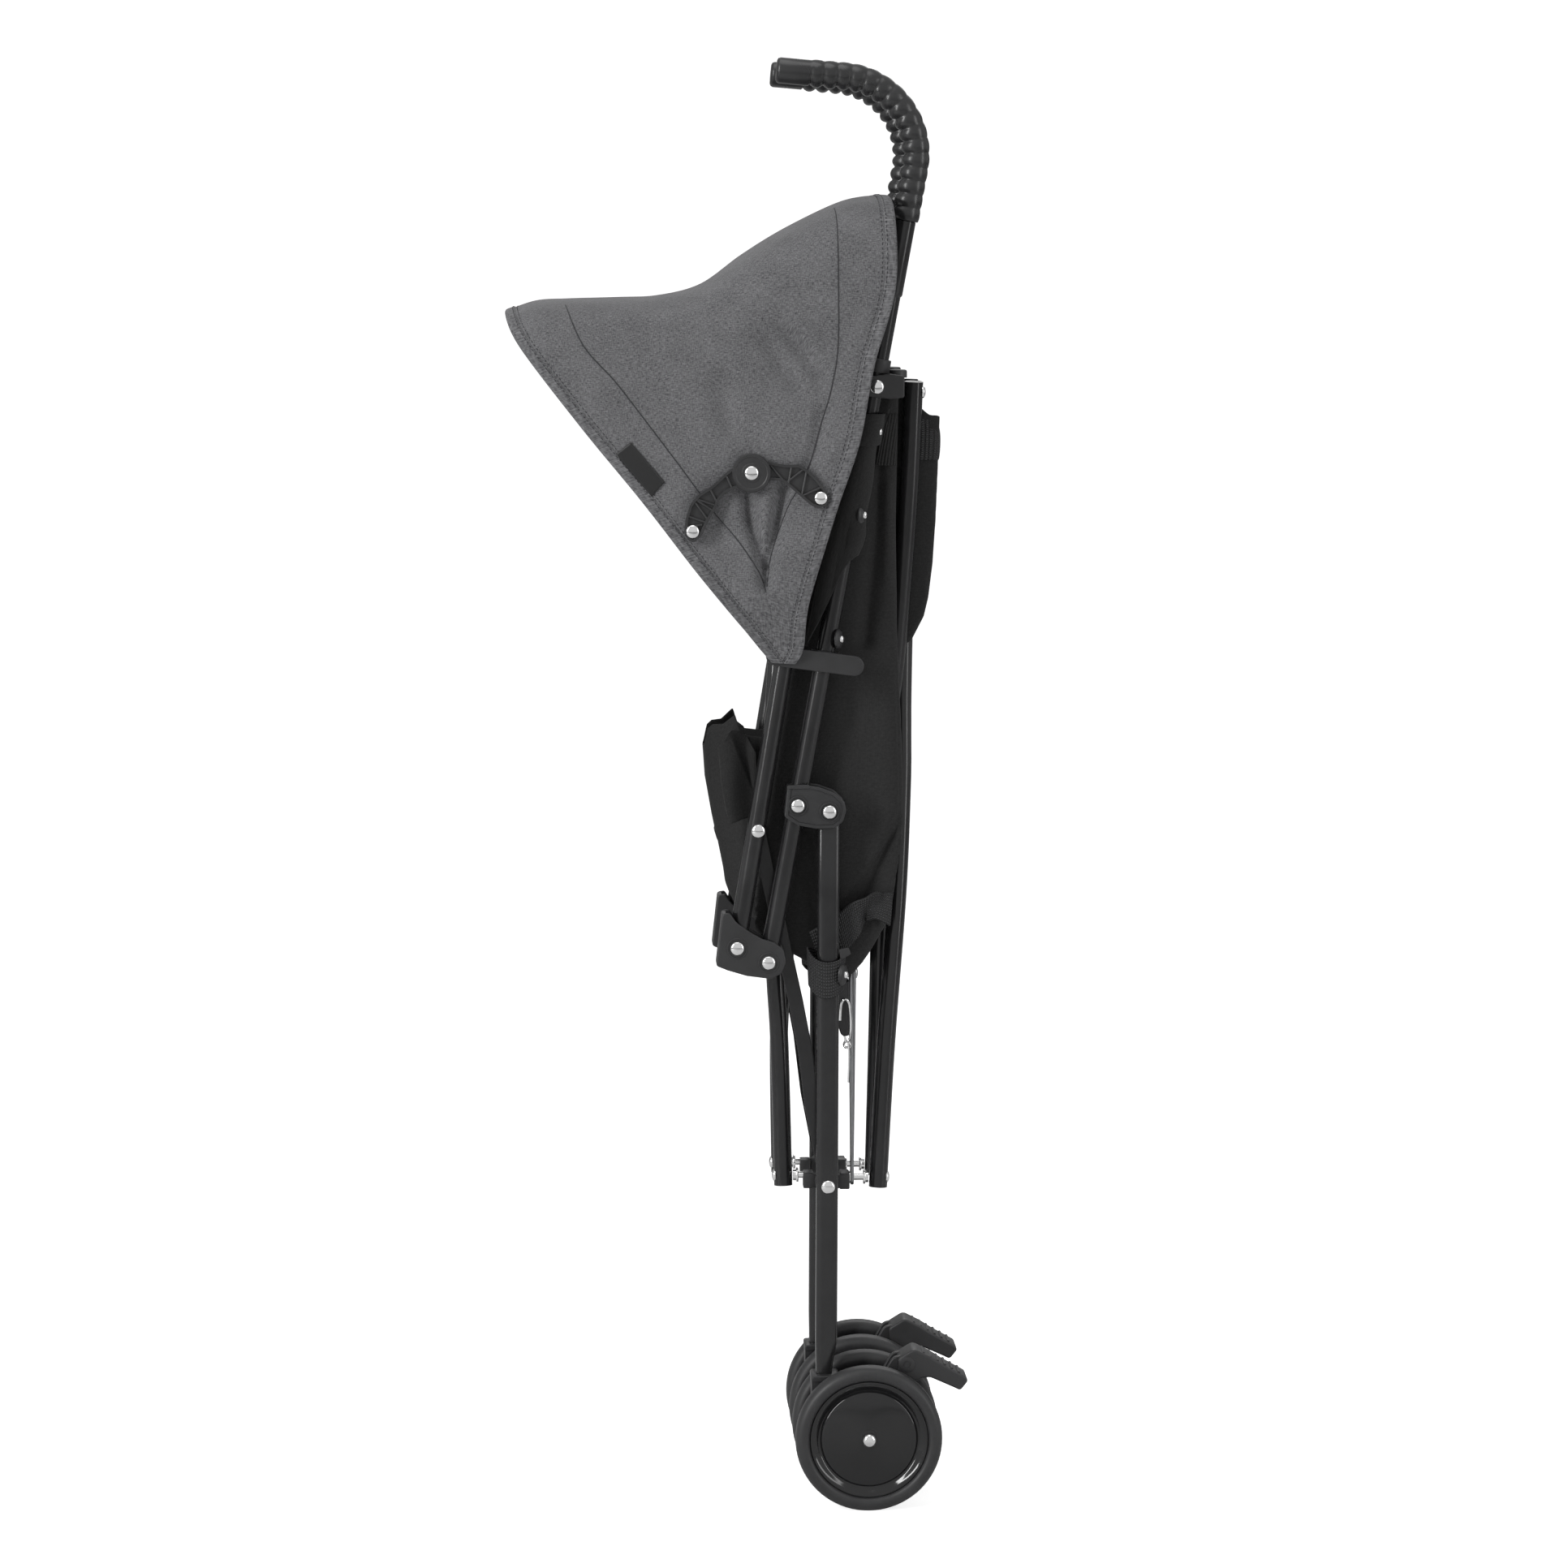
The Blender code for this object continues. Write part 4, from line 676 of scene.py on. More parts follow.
def rear_leg(s):
    """The oval leg: nearly flat sides with round corners, narrower where it enters its foot."""
    sides = 44
    ring = []
    for k in range(sides):
        angle = 2 * pi * k / sides
        c, q = cos(angle), sin(angle)
        reach = (abs(c) ** 3.4 + abs(q) ** 3.4) ** (-1 / 3.4)
        ring.append((6.0 * c * reach, 8.3 * q * reach))
    heights = [62, 100, 108, 116, 124, 200, 330, 460, 536.6, 537.5]
    scales = [1.0] * (len(heights) - 1) + [0.93]
    points = [place(0.2 + 1.8 * (z - 62.0) / 475.5, z, s * HALF_TRACK) for z in heights]
    work = pipe(points, MM, sides, scales, ring)
    for vert in work.verts:
        height = vert.co.z / MM
        squeeze = 1.0 - 0.25 * (1.0 - blendin(height, 102.0, 126.0))
        middle = place(0.2 + 1.8 * (height - 62.0) / 475.5, height).x
        vert.co.x = middle + (vert.co.x - middle) * squeeze - 1.7 * MM * (1.0 - blendin(height, 102.0, 126.0))
    return work


def cross_tube(s, top, foot, bow, from_top, radius):
    """A bowed tube of a cross, from this side to the other, with pressed flats at its ends."""
    start, end = (top, foot) if from_top else (foot, top)
    span = end.y - start.y
    up = 1 if span > 0 else -1
    corners = [(start.x, start.y - 8.0 * up), *bow, (end.x, end.y + (8.0 if from_top else 4.4) * up)]
    run = smooth_run(corners, 56)
    points = [at_depth(p, s * CROSS_DEPTH * (1 - 2 * (p.y - start.y) / span)) for p in run]
    scales = [1.0] * len(points)
    rims = [points[0].lerp(points[1], 0.04), points[-1].lerp(points[-2], 0.04)]
    points = [points[0], rims[0], *points[1:-1], rims[1], points[-1]]
    scales = [0.9, 1.0, *scales[1:-1], 1.0, 0.9]
    return pipe(points, radius, 28, scales)


def cross_ends(s, top, foot, from_top):
    """The bolt heads at a cross tube's two ends, as (centre, direction)."""
    start, end = (top, foot) if from_top else (foot, top)
    way = 1.0 if from_top else -1.0
    heads = []
    for point, depth in ((start, s), (end, -s)):
        heads.append((place(point.x + way * 6.6, point.y, depth * CROSS_DEPTH), (way, 0, 0)))
    return heads


def lock_bar(s):
    """A flat lock bar that faces front to rear, from the hub bolt up to the middle hinge."""
    x_low = HUB.x + 18.6 + (0.0 if s < 0 else 2.9)
    outline = bar_outline([(s * CROSS_DEPTH, REAR_CROSS_FOOT.y), (0.0, LOCK_TOP)], 12.0)
    turn = Matrix(((0, 0, MM, (x_low + FRAME_X) * MM), (MM, 0, 0, 0), (0, MM, 0, 0), (0, 0, 0, 1)))
    return plate(outline, 2.4, turn, 0.4)


def straight_pin(point, y_from, y_to, radius):
    """A pin through the side view."""
    long = abs(y_to - y_from)
    way = 1.0 if y_to > y_from else -1.0
    profile = [(0, 0), (radius - 0.3, 0), (radius, 0.3), (radius, long - 0.3), (radius - 0.3, long),
               (0, long)]
    return lathe(profile, place(point[0], point[1], y_from), (0.0, way, 0.0), 24)


class STROLLER_OT_tubes(bpy.types.Operator):
    """Make the push tubes, legs, cross tubes, side links and lock bars"""

    bl_idname = "stroller.make_tubes"
    bl_label = "Tubes and bars"

    def execute(self, context):
        sizes = context.scene.stroller_sizes
        coat, chrome = finish_of("powder_coated_steel"), finish_of("chrome_plate")
        zinc = finish_of("zinc_plated_steel")
        tube, cross, head = sizes.tube_radius / MM, sizes.cross_radius, sizes.rivet_radius
        for side, s in SIDES:
            piece(f"{side}_push_tube_coated", push_tube(s, tube), coat, f"{side}_push",
                  [f"{side}_push_tube"])
            piece(f"{side}_front_leg_coated", front_leg(s, tube), coat, f"{side}_front_leg",
                  [f"{side}_front_leg"])
            piece(f"{side}_rear_leg_coated", rear_leg(s), coat, f"{side}_rear_leg",
                  [f"{side}_rear_leg"])
            for name, top, foot, bow, from_top in (
                    ("rear", REAR_CROSS_TOP, REAR_CROSS_FOOT, REAR_CROSS_BOW[side], True),
                    ("front", FRONT_CROSS_TOP, FRONT_CROSS_FOOT, FRONT_CROSS_BOW[side], False)):
                body = f"{side}_{name}_cross"
                piece(f"{body}_tube_coated", cross_tube(s, top, foot, bow, from_top, cross), coat, body,
                      [f"{body}_tube"])
                heads = [rivet(centre, way, 4.6 * MM, 2.2) for centre, way in cross_ends(s, top, foot,
                                                                                         from_top)]
                piece(f"{body}_bolt_heads", gather(*heads), chrome, body)
            link = slab(bar_outline(LINK_PATH, 11.0), s * 36.2, s * 38.9, 0.5)
            piece(f"{side}_side_link_coated", link, coat, f"{side}_link", [f"{side}_side_link"])
            piece(f"{side}_lock_bar_plated", lock_bar(s), zinc, f"{side}_lock", [f"{side}_lock_bar"])
            leg_pins = [rivet(at_depth(HUB, s * 56.0), (0, s, 0), head),
                        rivet(at_depth(HUB, s * 26.4), (0, -s, 0), head, 1.8),
                        straight_pin(HUB, s * 26.0, s * 45.0, 3.0)]
            piece(f"{side}_hub_rivet", gather(*leg_pins), chrome, f"{side}_rear_leg")
            front_pins = [rivet(at_depth(LINK_TOP, s * 57.0), (0, s, 0), head),
                          rivet(at_depth(LINK_TOP, s * 41.6), (0, -s, 0), 4.5 * MM, 1.6),
                          rivet(at_depth(FRONT_CLEVIS, s * 30.4), (0, -s, 0), head, 1.8),
                          straight_pin(FRONT_CLEVIS, s * 30.0, s * 45.0, 3.0)]
            piece(f"{side}_front_leg_rivets", gather(*front_pins), chrome, f"{side}_front_leg")
        return {"FINISHED"}


# The beaded foam grips

GRIP_BEND_R = 57.0
GRIP_FOOT_RUN = 39.0
GRIP_TOP_RUN = 51.0
GRIP_END_RISE = radians(5.0)
GRIP_TURN = pi / 2 + PUSH_LEAN - GRIP_END_RISE
GRIP_LENGTH = GRIP_FOOT_RUN + GRIP_BEND_R * GRIP_TURN + GRIP_TOP_RUN


def grip_axis(distance):
    """A point of the grip's axis and the direction it runs in."""
    foot = along(PUSH_FOOT, PUSH_UP, 560.5)
    if distance <= GRIP_FOOT_RUN:
        return along(foot, PUSH_UP, distance), PUSH_UP.copy()
    centre = along(along(foot, PUSH_UP, GRIP_FOOT_RUN), PUSH_UP, 0.0, GRIP_BEND_R)
    turn = min((distance - GRIP_FOOT_RUN) / GRIP_BEND_R, GRIP_TURN)
    angle = -PUSH_LEAN + turn
    point = centre + GRIP_BEND_R * Vector((cos(angle), sin(angle)))
    way = Vector((-sin(angle), cos(angle)))
    rest = max(distance - GRIP_FOOT_RUN - GRIP_TURN * GRIP_BEND_R, 0.0)
    return point + way * rest, way


def grip(s, radius, beads):
    """A row of round beads with a plain end, turned straight and then laid along the bend."""
    pitch = 160.0 / beads
    profile = [(0, 0), (radius * 0.82, 0)]
    for k in range(beads):
        for step in (0.03, 0.14, 0.28, 0.42, 0.58, 0.72, 0.86, 0.97):
            profile.append((radius, (k + step) * pitch))
    plain = radius * 0.925
    profile += [(plain, 161.0), (plain, 172.0), (plain, GRIP_LENGTH - 2.4), (plain - 0.7, GRIP_LENGTH - 0.8),
                (plain - 2.2, GRIP_LENGTH), (3.0, GRIP_LENGTH), (2.4, GRIP_LENGTH - 0.9),
                (0.0, GRIP_LENGTH - 0.9)]
    work = lathe(profile, (0, 0, 0), (0, 0, 1), 48)
    for vert in work.verts:
        distance = vert.co.z / MM
        reach = hypot(vert.co.x, vert.co.y) / MM
        angle = atan2(vert.co.y, vert.co.x)
        inside = 0.5 + 0.5 * cos(angle)          # 1 on the inside of the bend
        if reach > 7.0 and distance < 160.5:
            swell = abs(sin(pi * distance / pitch)) ** 0.62
            depth = 0.085 + 0.2 * inside ** 1.6
            reach *= 1.0 - depth * (1.0 - swell)
            reach *= 0.985 + 0.03 * inside
        spot, way = grip_axis(distance)
        inward = Vector((-way.y, way.x))
        flat = spot + inward * (reach * cos(angle))
        vert.co = at_depth(flat, s * HALF_TRACK + reach * sin(angle))
    bmesh.ops.recalc_face_normals(work, faces=work.faces)
    return work


class STROLLER_OT_grips(bpy.types.Operator):
    """Make the two beaded foam grips"""

    bl_idname = "stroller.make_grips"
    bl_label = "Handle grips"

    def execute(self, context):
        sizes = context.scene.stroller_sizes
        for side, s in SIDES:
            piece(f"{side}_beaded_grip", grip(s, sizes.grip_radius / MM, sizes.grip_beads),
                  finish_of("foam_grip"), f"{side}_push", [f"{side}_handle_grip"], angle=60.0)
        return {"FINISHED"}


# The moulded brackets and clevises

CHEEKS = ((57.9, 60.6), (39.4, 42.1))   # depths of a bracket's outer and inner plate
PIN_BORE_R = 3.3
BRACKET_OUTLINE = [(-29.3, 548.7, 3), (-18, 549.6, 6), (-6, 547.9, 8), (6, 543.5, 8),
                   (13, 537, 5), (14.6, 530, 5), (12, 521.5, 5), (5.5, 516.6, 5),
                   (-8, 516.3, 8), (-22, 519, 6), (-31.8, 525.5, 3)]
KNEE_OUTLINE = [(-78.3, 452.6, 2.5), (-72.7, 453.5, 2), (-67.5, 446, 6), (-57.5, 439, 8), (-48, 433.4, 6),
                (-40, 431.2, 5), (-32.5, 426, 6), (-30.3, 416, 6), (-33.5, 407.3, 5), (-42, 403.2, 5),
                (-60, 405.6, 8), (-74, 409.8, 8), (-82.7, 413.3, 2.5)]


def boss(point, s, radius=7.5, tall=0.15):
    """The shallow ring that a rivet sits in, on a bracket's outer face."""
    profile = [(0, -1.2), (radius, -1.2), (radius, tall - 0.3), (radius - 0.3, tall), (radius - 1.1, tall),
               (radius - 1.4, tall - 0.8), (0, tall - 0.8)]
    return lathe(profile, at_depth(point, s * (HALF_TRACK + 10.6)), (0, s, 0), 36)


def cheeks(outline, s, sunk=None):
    """The two plates of a bracket, each side of its tube."""
    (outer, skin), (inner, back) = CHEEKS
    return [slab(outline, s * outer, s * skin, 0.9, sunk=sunk), slab(outline, s * inner, s * back, 0.9)]


def pivot_bracket(s):
    spine = [(-29.2, 548.4, 1), (-26.2, 548.7, 0), (-30.4, 525.4, 0), (-31.7, 525.8, 1)]
    collar = [(-29.6, 549.2, 1.5), (-13.2, 549.7, 1.5), (-12.6, 546.6, 1), (-29.9, 546.3, 1)]
    parts = cheeks(BRACKET_OUTLINE, s, (s, 2.3, 0.9))
    parts += [slab(spine, s * 39.6, s * 60.4, 0.5), slab(collar, s * 60.0, s * 61.3, 0.5),
              boss(LEG_TOP, s), boss(BRACKET_RIVET, s)]
    return gather(*parts)


def knee_bracket(s):
    wall = [(-78.2, 452.3, 1), (-75.4, 452.7, 0), (-79.9, 413, 0), (-82.6, 413.5, 1)]
    return gather(*cheeks(KNEE_OUTLINE, s), slab(wall, s * 39.6, s * 60.4, 0.6),
                  boss(PUSH_FOOT, s, 7.9, 0.6), boss(KNEE_RIVET, s, 7.9, 0.6))


def bracket_rivets(s, *points):
    heads = [rivet(at_depth(p, s * 60.9), (0, s, 0), 5.2 * MM, 2.2) for p in points]
    heads += [rivet(at_depth(p, s * 39.5), (0, -s, 0), 4.6 * MM, 1.4) for p in points]
    return gather(*heads)


def top_clevis(s):
    """The forked block on the push tube, with the round cap above the cross tube's bolt."""
    fork = [(27.5, 838, 6), (27.5, 852.5, 6), (46, 854.5, 1), (57, 853, 2), (57, 837, 2), (46, 836, 1)]
    parts = [slab(fork, s * low, s * high, 0.8) for low, high in CHEEKS]
    cap = [(0, 0), (7.8, 0), (7.8, 4.6), (7.3, 5.6), (6, 6), (0, 6.2)]
    bolt = [(0, 0), (4.4, 0), (4.4, 9.2), (0, 9.2)]
    return gather(*parts, box_shape((48.0, 56.8), (s * 18.2, s * 60.2), (837.6, 852.6), 0.8),
                  lathe(cap, place(53.0, 851.0, s * 33.0), (0, 0, 1), 36),
                  lathe(bolt, place(50.0, REAR_CROSS_TOP.y, s * CROSS_DEPTH), (1, 0, 0), 28))


def tube_sleeve(s):
    """The short moulded sleeve on the push tube just above the clevis."""
    at = along(PUSH_FOOT, PUSH_UP, 447.5)
    profile = [(7.2, 0), (8.9, 0), (9.1, 0.4), (9.1, 9.4), (8.7, 10), (7.2, 10), (7.2, 0)]
    return straight_tube(at, PUSH_UP, s * HALF_TRACK, profile, 40)


def hub_clevis(s, rear):
    """A hub wing: a ring on the hub pin, and a block that carries a cross tube's bolt."""
    sign = 1.0 if rear else -1.0
    low, high = (31.7, 35.7) if rear else (27.3, 31.2)
    foot = REAR_CROSS_FOOT if rear else FRONT_CROSS_FOOT
    ring = lathe(ring_profile(PIN_BORE_R, 9.0, high - low), at_depth(HUB, s * low), (0, s, 0), 36)
    tab = box_shape((HUB.x + sign * 5.0, HUB.x + sign * 16.5), (s * (low + 0.4), s * (high - 0.4)),
                    (HUB.y - 5.4, HUB.y + 5.4), 0.6)
    body = box_shape((HUB.x + sign * 9.9, HUB.x + sign * 17.5), (s * 18.5, s * (high - 0.8)),
                     (HUB.y - 6.2, HUB.y + 6.2), 0.9)
    return gather(ring, tab, body), foot, sign


def hub_bolt(s, foot, sign, rear):
    """The plated bolt and washers between a hub wing and the foot of its cross tube."""
    start = HUB.x + sign * 16.0
    face = foot.x - sign * 7.35
    long = abs(face - start)
    profile = [(0, 0), (2.5, 0), (2.5, long - 4), (5.4, long - 4), (5.6, long - 3.4), (5.6, long - 2.8),
               (5.4, long - 2.4), (4.4, long - 2.2), (4.4, long), (0, long)]
    washer = [(0, 1.4), (4.9, 1.4), (5, 1.7), (5, 2.4), (4.9, 2.7), (0, 2.7)]
    centre = place(start, foot.y, s * CROSS_DEPTH)
    parts = [lathe(profile, centre, (sign, 0, 0), 32)]
    if rear:
        parts.append(lathe(washer, centre, (sign, 0, 0), 32))
    return gather(*parts)


def front_clevis(s):
    x, z = FRONT_CLEVIS
    ring = lathe(ring_profile(PIN_BORE_R, 7.6, 10.5), place(x, z, s * 31.3), (0, s, 0), 36)
    return gather(ring, box_shape((x - 10.8, x - 4.0), (s * 31.8, s * 41.3), (z - 5.5, z + 5.5), 0.6),
                  box_shape((x - 11.5, x - 9.0), (s * 18.5, s * 40.8), (z - 6.0, z + 6.0), 0.5),
                  lathe([(0, 0), (4.4, 0), (4.4, 1), (0, 1)],
                        place(x - 11.0, FRONT_CROSS_TOP.y, s * CROSS_DEPTH), (-1, 0, 0), 28))


def canopy_clip(s):
    """The clip that snaps round the push tube, and the flat lug the canopy's corner sits on."""
    at = along(PUSH_FOOT, PUSH_UP, (642.0 - PUSH_FOOT.y) / PUSH_UP.y - 7.0)
    ring = straight_tube(at, PUSH_UP, s * HALF_TRACK, ring_profile(7.5, 10.6, 14.0), 40)
    lug = slab(bar_outline([(-38, 646), (20, 638.2)], 15.0, 12), s * 58.2, s * 61.2, 0.9)
    return gather(ring, lug)


class STROLLER_OT_brackets(bpy.types.Operator):
    """Make the moulded brackets, clevises and clips with their rivets"""

    bl_idname = "stroller.make_brackets"
    bl_label = "Brackets and rivets"

    def execute(self, context):
        nylon, chrome = finish_of("moulded_nylon"), finish_of("chrome_plate")
        head = context.scene.stroller_sizes.rivet_radius
        for side, s in SIDES:
            push, leg = f"{side}_push", f"{side}_front_leg"
            piece(f"{side}_pivot_bracket_moulded", pivot_bracket(s), nylon, push,
                  [f"{side}_pivot_bracket"])
            piece(f"{side}_pivot_rivets", bracket_rivets(s, LEG_TOP, BRACKET_RIVET), chrome, push)
            piece(f"{side}_knee_bracket_moulded", knee_bracket(s), nylon, leg,
                  [f"{side}_knee_bracket"])
            piece(f"{side}_knee_rivets", bracket_rivets(s, PUSH_FOOT, KNEE_RIVET), chrome, leg)
            piece(f"{side}_top_clevis_moulded", top_clevis(s), nylon, f"{side}_top_clevis_body",
                  [f"{side}_top_clevis"])
            piece(f"{side}_tube_sleeve", tube_sleeve(s), nylon, push)
            pins = [rivet(at_depth(TOP_CLEVIS, s * 60.6), (0, s, 0), head, 2.0),
                    rivet(at_depth(TOP_CLEVIS, s * 39.4), (0, -s, 0), head, 1.6),
                    straight_pin(TOP_CLEVIS, s * 39.6, s * 60.4, 2.5)]
            piece(f"{side}_top_clevis_rivet", gather(*pins), chrome, push)
            for rear, name in ((True, "rear"), (False, "front")):
                shape, foot, sign = hub_clevis(s, rear)
                body = f"{side}_{name}_hub_clevis_body"
                piece(f"{side}_{name}_hub_wing", shape, nylon, body, [f"{side}_{name}_hub_clevis"])
                piece(f"{side}_{name}_hub_bolt", hub_bolt(s, foot, sign, rear), chrome, body)
            piece(f"{side}_front_clevis_moulded", front_clevis(s), nylon, f"{side}_front_clevis_body",
                  [f"{side}_front_clevis"])
            piece(f"{side}_canopy_clip_moulded", canopy_clip(s), nylon, push,
                  [f"{side}_canopy_clip"])
        return {"FINISHED"}


# Wheels, axle housings, casters and brakes

TYRE = [(45, 6.2), (45.3, 7.2), (46.4, 8.4), (48, 9.1), (49.8, 9.3), (51.6, 8.9), (53.3, 7.8), (54.6, 6.1),
        (55.3, 4), (55.5, 1.6), (55.5, -1.6), (55.3, -4), (54.6, -6.1), (53.3, -7.8), (51.6, -8.9),
        (49.8, -9.3), (47.4, -9.1), (45.6, -8.3), (44.6, -6.8), (44.2, -5), (44.2, 5), (45, 6.2)]
REAR_DISC = [(44.9, 5.6), (44.2, 6.5), (43.4, 6.7), (42.2, 6.2), (40.6, 4.9), (39, 3.5), (37.9, 2.7),
             (37, 2.5),
             (36.6, 2.9), (36.3, 3.7), (35.4, 4.5), (33.6, 4.9), (28, 5.7), (21, 6.6), (14, 7.3), (9, 7.8),
             (6.4, 8), (5.8, 8.2), (5.6, 8.6), (4.1, 8.6), (4.1, -8.2), (13, -8.2), (13.8, -7.6), (14, -4.6),
             (15, -3.6), (35, -3.2), (38.6, -4), (41.6, -6.6), (43.4, -7.6), (44.6, -7.2), (44.9, -5),
             (44.9, 5.6)]


def scaled(profile, radius):
    """A wheel profile for another tyre radius, with the hub left as it is."""
    made = []
    for r, depth in profile:
        made.append((r if r < 8.0 else 8.0 + (r - 8.0) * (radius - 8.0) / 47.5, depth))
    return made


def wheel_parts(centre, out, radius):
    """The tyre, the dished disc and the plated cap of one wheel; the disc faces out."""
    way = (0, out, 0)
    tyre = lathe(scaled(TYRE, radius), centre, way, 80)
    disc = lathe(scaled(REAR_DISC, radius), centre, way, 80)
    cap = lathe([(0, 7.6), (5, 7.6), (5.2, 8.4), (5.1, 9.4), (4.5, 10.5), (3.3, 11.3), (1.7, 11.8),
                 (0, 11.9)],
                centre, way, 32)
    return tyre, disc, cap


def axle_shape(axle, y):
    """The plated axle with its two stop washers."""
    rod = straight_pin(axle, y - 33.4, y + 33.4, 3.6)
    washers = [lathe([(3.7, 0), (7.4, 0), (7.4, 1.2), (3.7, 1.2), (3.7, 0)],
                     place(axle[0], axle[1], y + k), (0, 1, 0), 28)
               for k in (-15.4, 14.2)]
    return gather(rod, *washers)


def axle_housing(s):
    """The moulded foot: a socket for the leg, the axle's boss and the brake's ear."""
    y = s * HALF_TRACK
    foot = [(-11, 99, 2), (8.5, 99, 3), (18, 82, 8), (34, 80, 4), (37, 84, 1), (38.5, 44, 3),
            (34, 42.5, 4), (20, 44.5, 8), (2, 55, 8), (-11, 60, 4)]
    ear = [(30, 80.5, 2), (34, 80, 3), (38.5, 90, 4), (50.5, 90, 5), (51.5, 76, 6), (41.5, 62, 5),
           (36, 50, 3), (30, 60, 2)]
    collar = [(-11.4, 99.4, 2), (9.6, 99.4, 2), (10.6, 94.5, 1), (-11.4, 94.5, 1)]
    boss_ring = lathe([(0, -12.8), (9.5, -12.8), (10.2, -12.2), (10.2, 12.2), (9.5, 12.8), (0, 12.8)],
                      at_depth(AXLE, y), (0, 1, 0), 36)
    return gather(slab(foot, y - 12.0, y + 12.0, 1.2), slab(ear, y - 4.0, y + 4.0, 0.8),
                  slab(collar, y - 12.6, y + 12.6, 0.8), boss_ring)


BRAKE_ARM = [(38, 84, 1), (38, 77.5, 5), (51, 76, 6), (56, 84, 8), (62, 91, 6),
             (72.5, 96.5, 6), (78.5, 97.3, 6), (97, 89, 6), (101.8, 86.6, 2.5), (107.8, 94.4, 2.5),
             (106.2, 97.8, 3), (88.5, 107.8, 8), (79.5, 113.6, 8), (66.5, 120.3, 5), (58.5, 115.5, 5),
             (50.5, 112.5, 6), (41, 96, 8)]


def brake_lever(s):
    """The foot brake: two arms on the housing's ear, and a thick pedal with ridges on it."""
    y = s * HALF_TRACK
    pedal = [(55, 96, 3), (62, 91.6, 4), (72.5, 96.9, 6), (78.5, 97.7, 6), (97, 89.4, 6), (101.6, 87.1, 2.5),
             (107.4, 94.4, 2.5), (106, 97.5, 3), (88.3, 107.4, 8), (79.3, 113.2, 8), (66.5, 119.8, 5),
             (58.8, 115.1, 5), (54, 112, 3)]
    arm = BRAKE_ARM[:4] + [(57.5, 92, 2), (57, 114, 1)] + BRAKE_ARM[-2:]
    parts = [slab(pedal, y - 13.0, y + 13.0, 1.6, rims=4)]
    parts += [slab(arm, y + low, y + high, 0.7) for low, high in ((4.5, 9.5), (-9.5, -4.5))]
    way = (Vector((106.2, 97.8)) - Vector((66.5, 120.3))).normalized()
    for k in range(6):
        spot = Vector((66.5, 119.7)) + way * (8.0 + 6.2 * k)
        rib = [(0, 0), (0.9, 0), (1.2, 0.4), (1.2, 20.6), (0.9, 21), (0, 21)]
        parts.append(lathe(rib, at_depth(spot, y - 10.5), (0, 1, 0), 14))
    ring = [(2.9, 0), (5.6, 0), (6, 0.4), (6, 1), (5.6, 1.2), (2.9, 1.2), (2.9, 0)]
    parts.append(lathe(ring, place(60.8, 108.0, y + s * 12.6), (0, s, 0), 32))
    return gather(*parts)


def caster_point(rise, aside):
    return along(KNEE_RIVET, FRONT_UP, FRONT_LEG_LENGTH + rise, aside)


def caster_housing(s):
    """The swivelling foot of the front leg: a collar, a stem and an arm to the axle."""
    y = s * HALF_TRACK
    spots = [(1, -10, 3), (1, 10, 3), (7, 22, 6), (11, 36, 8), (17, 44, 6),
             (29, 42, 8), (34, 28, 8), (26, 4, 8), (20, -10, 5)]
    outline = [(*caster_point(rise, aside), radius) for rise, aside, radius in spots]
    stem_at = caster_point(-18.0, 0.0)
    stem = straight_tube(stem_at, FRONT_UP, y, [(0, 0), (3.8, 0), (4.2, 0.6), (4.2, 24), (0, 24)], 28)
    collar_at = caster_point(0.6, 0.0)
    collar = straight_tube(collar_at, FRONT_UP, y, [(0, 0), (9.6, 0), (10.4, 0.8), (10.4, 4.4), (9.6, 5.2),
                                                    (0, 5.2)], 40)
    return gather(slab(outline, y - 10.0, y + 10.0, 1.2), stem, collar)


class STROLLER_OT_wheels(bpy.types.Operator):
    """Make the twin wheels, their housings, the casters and the foot brakes"""

    bl_idname = "stroller.make_wheels"
    bl_label = "Wheels and brakes"

    def execute(self, context):
        nylon, chrome = finish_of("moulded_nylon"), finish_of("chrome_plate")
        tyre_finish, gloss = finish_of("eva_tyre"), finish_of("polished_nylon")
        front = caster_point(CASTER_ALONG - FRONT_LEG_LENGTH, CASTER_TRAIL)
        for side, s in SIDES:
            y = s * HALF_TRACK
            for end, axle, radius, carrier in (("rear", AXLE, 55.5, f"{side}_rear_leg"),
                                               ("front", front, 47.0, f"{side}_caster")):
                for twin, out in (("outer", s), ("inner", -s)):
                    name = f"{side}_{end}_wheel_{twin}"
                    tyre, disc, cap = wheel_parts(at_depth(axle, y + out * TWIN_OFFSET), out, radius)
                    piece(f"{name}_tyre", tyre, tyre_finish, f"{name}_body", [name], angle=50.0)
                    piece(f"{name}_disc", disc, gloss, f"{name}_body")
                    piece(f"{name}_cap", cap, chrome, carrier, angle=60.0)
                piece(f"{side}_{end}_axle", axle_shape(axle, y), chrome, carrier)
            piece(f"{side}_axle_housing_moulded", axle_housing(s), nylon, f"{side}_rear_leg",
                  [f"{side}_axle_housing"])
            piece(f"{side}_caster_moulded", caster_housing(s), nylon, f"{side}_caster",
                  [f"{side}_caster_housing"])
            piece(f"{side}_brake_moulded", brake_lever(s), nylon, f"{side}_brake",
                  [f"{side}_brake_lever"])
            pin = straight_pin(BRAKE_PIVOT, y - 10.5, y + 10.5, 2.5)
            piece(f"{side}_brake_pin", pin, chrome, f"{side}_rear_leg")
        return {"FINISHED"}


# The folding lock

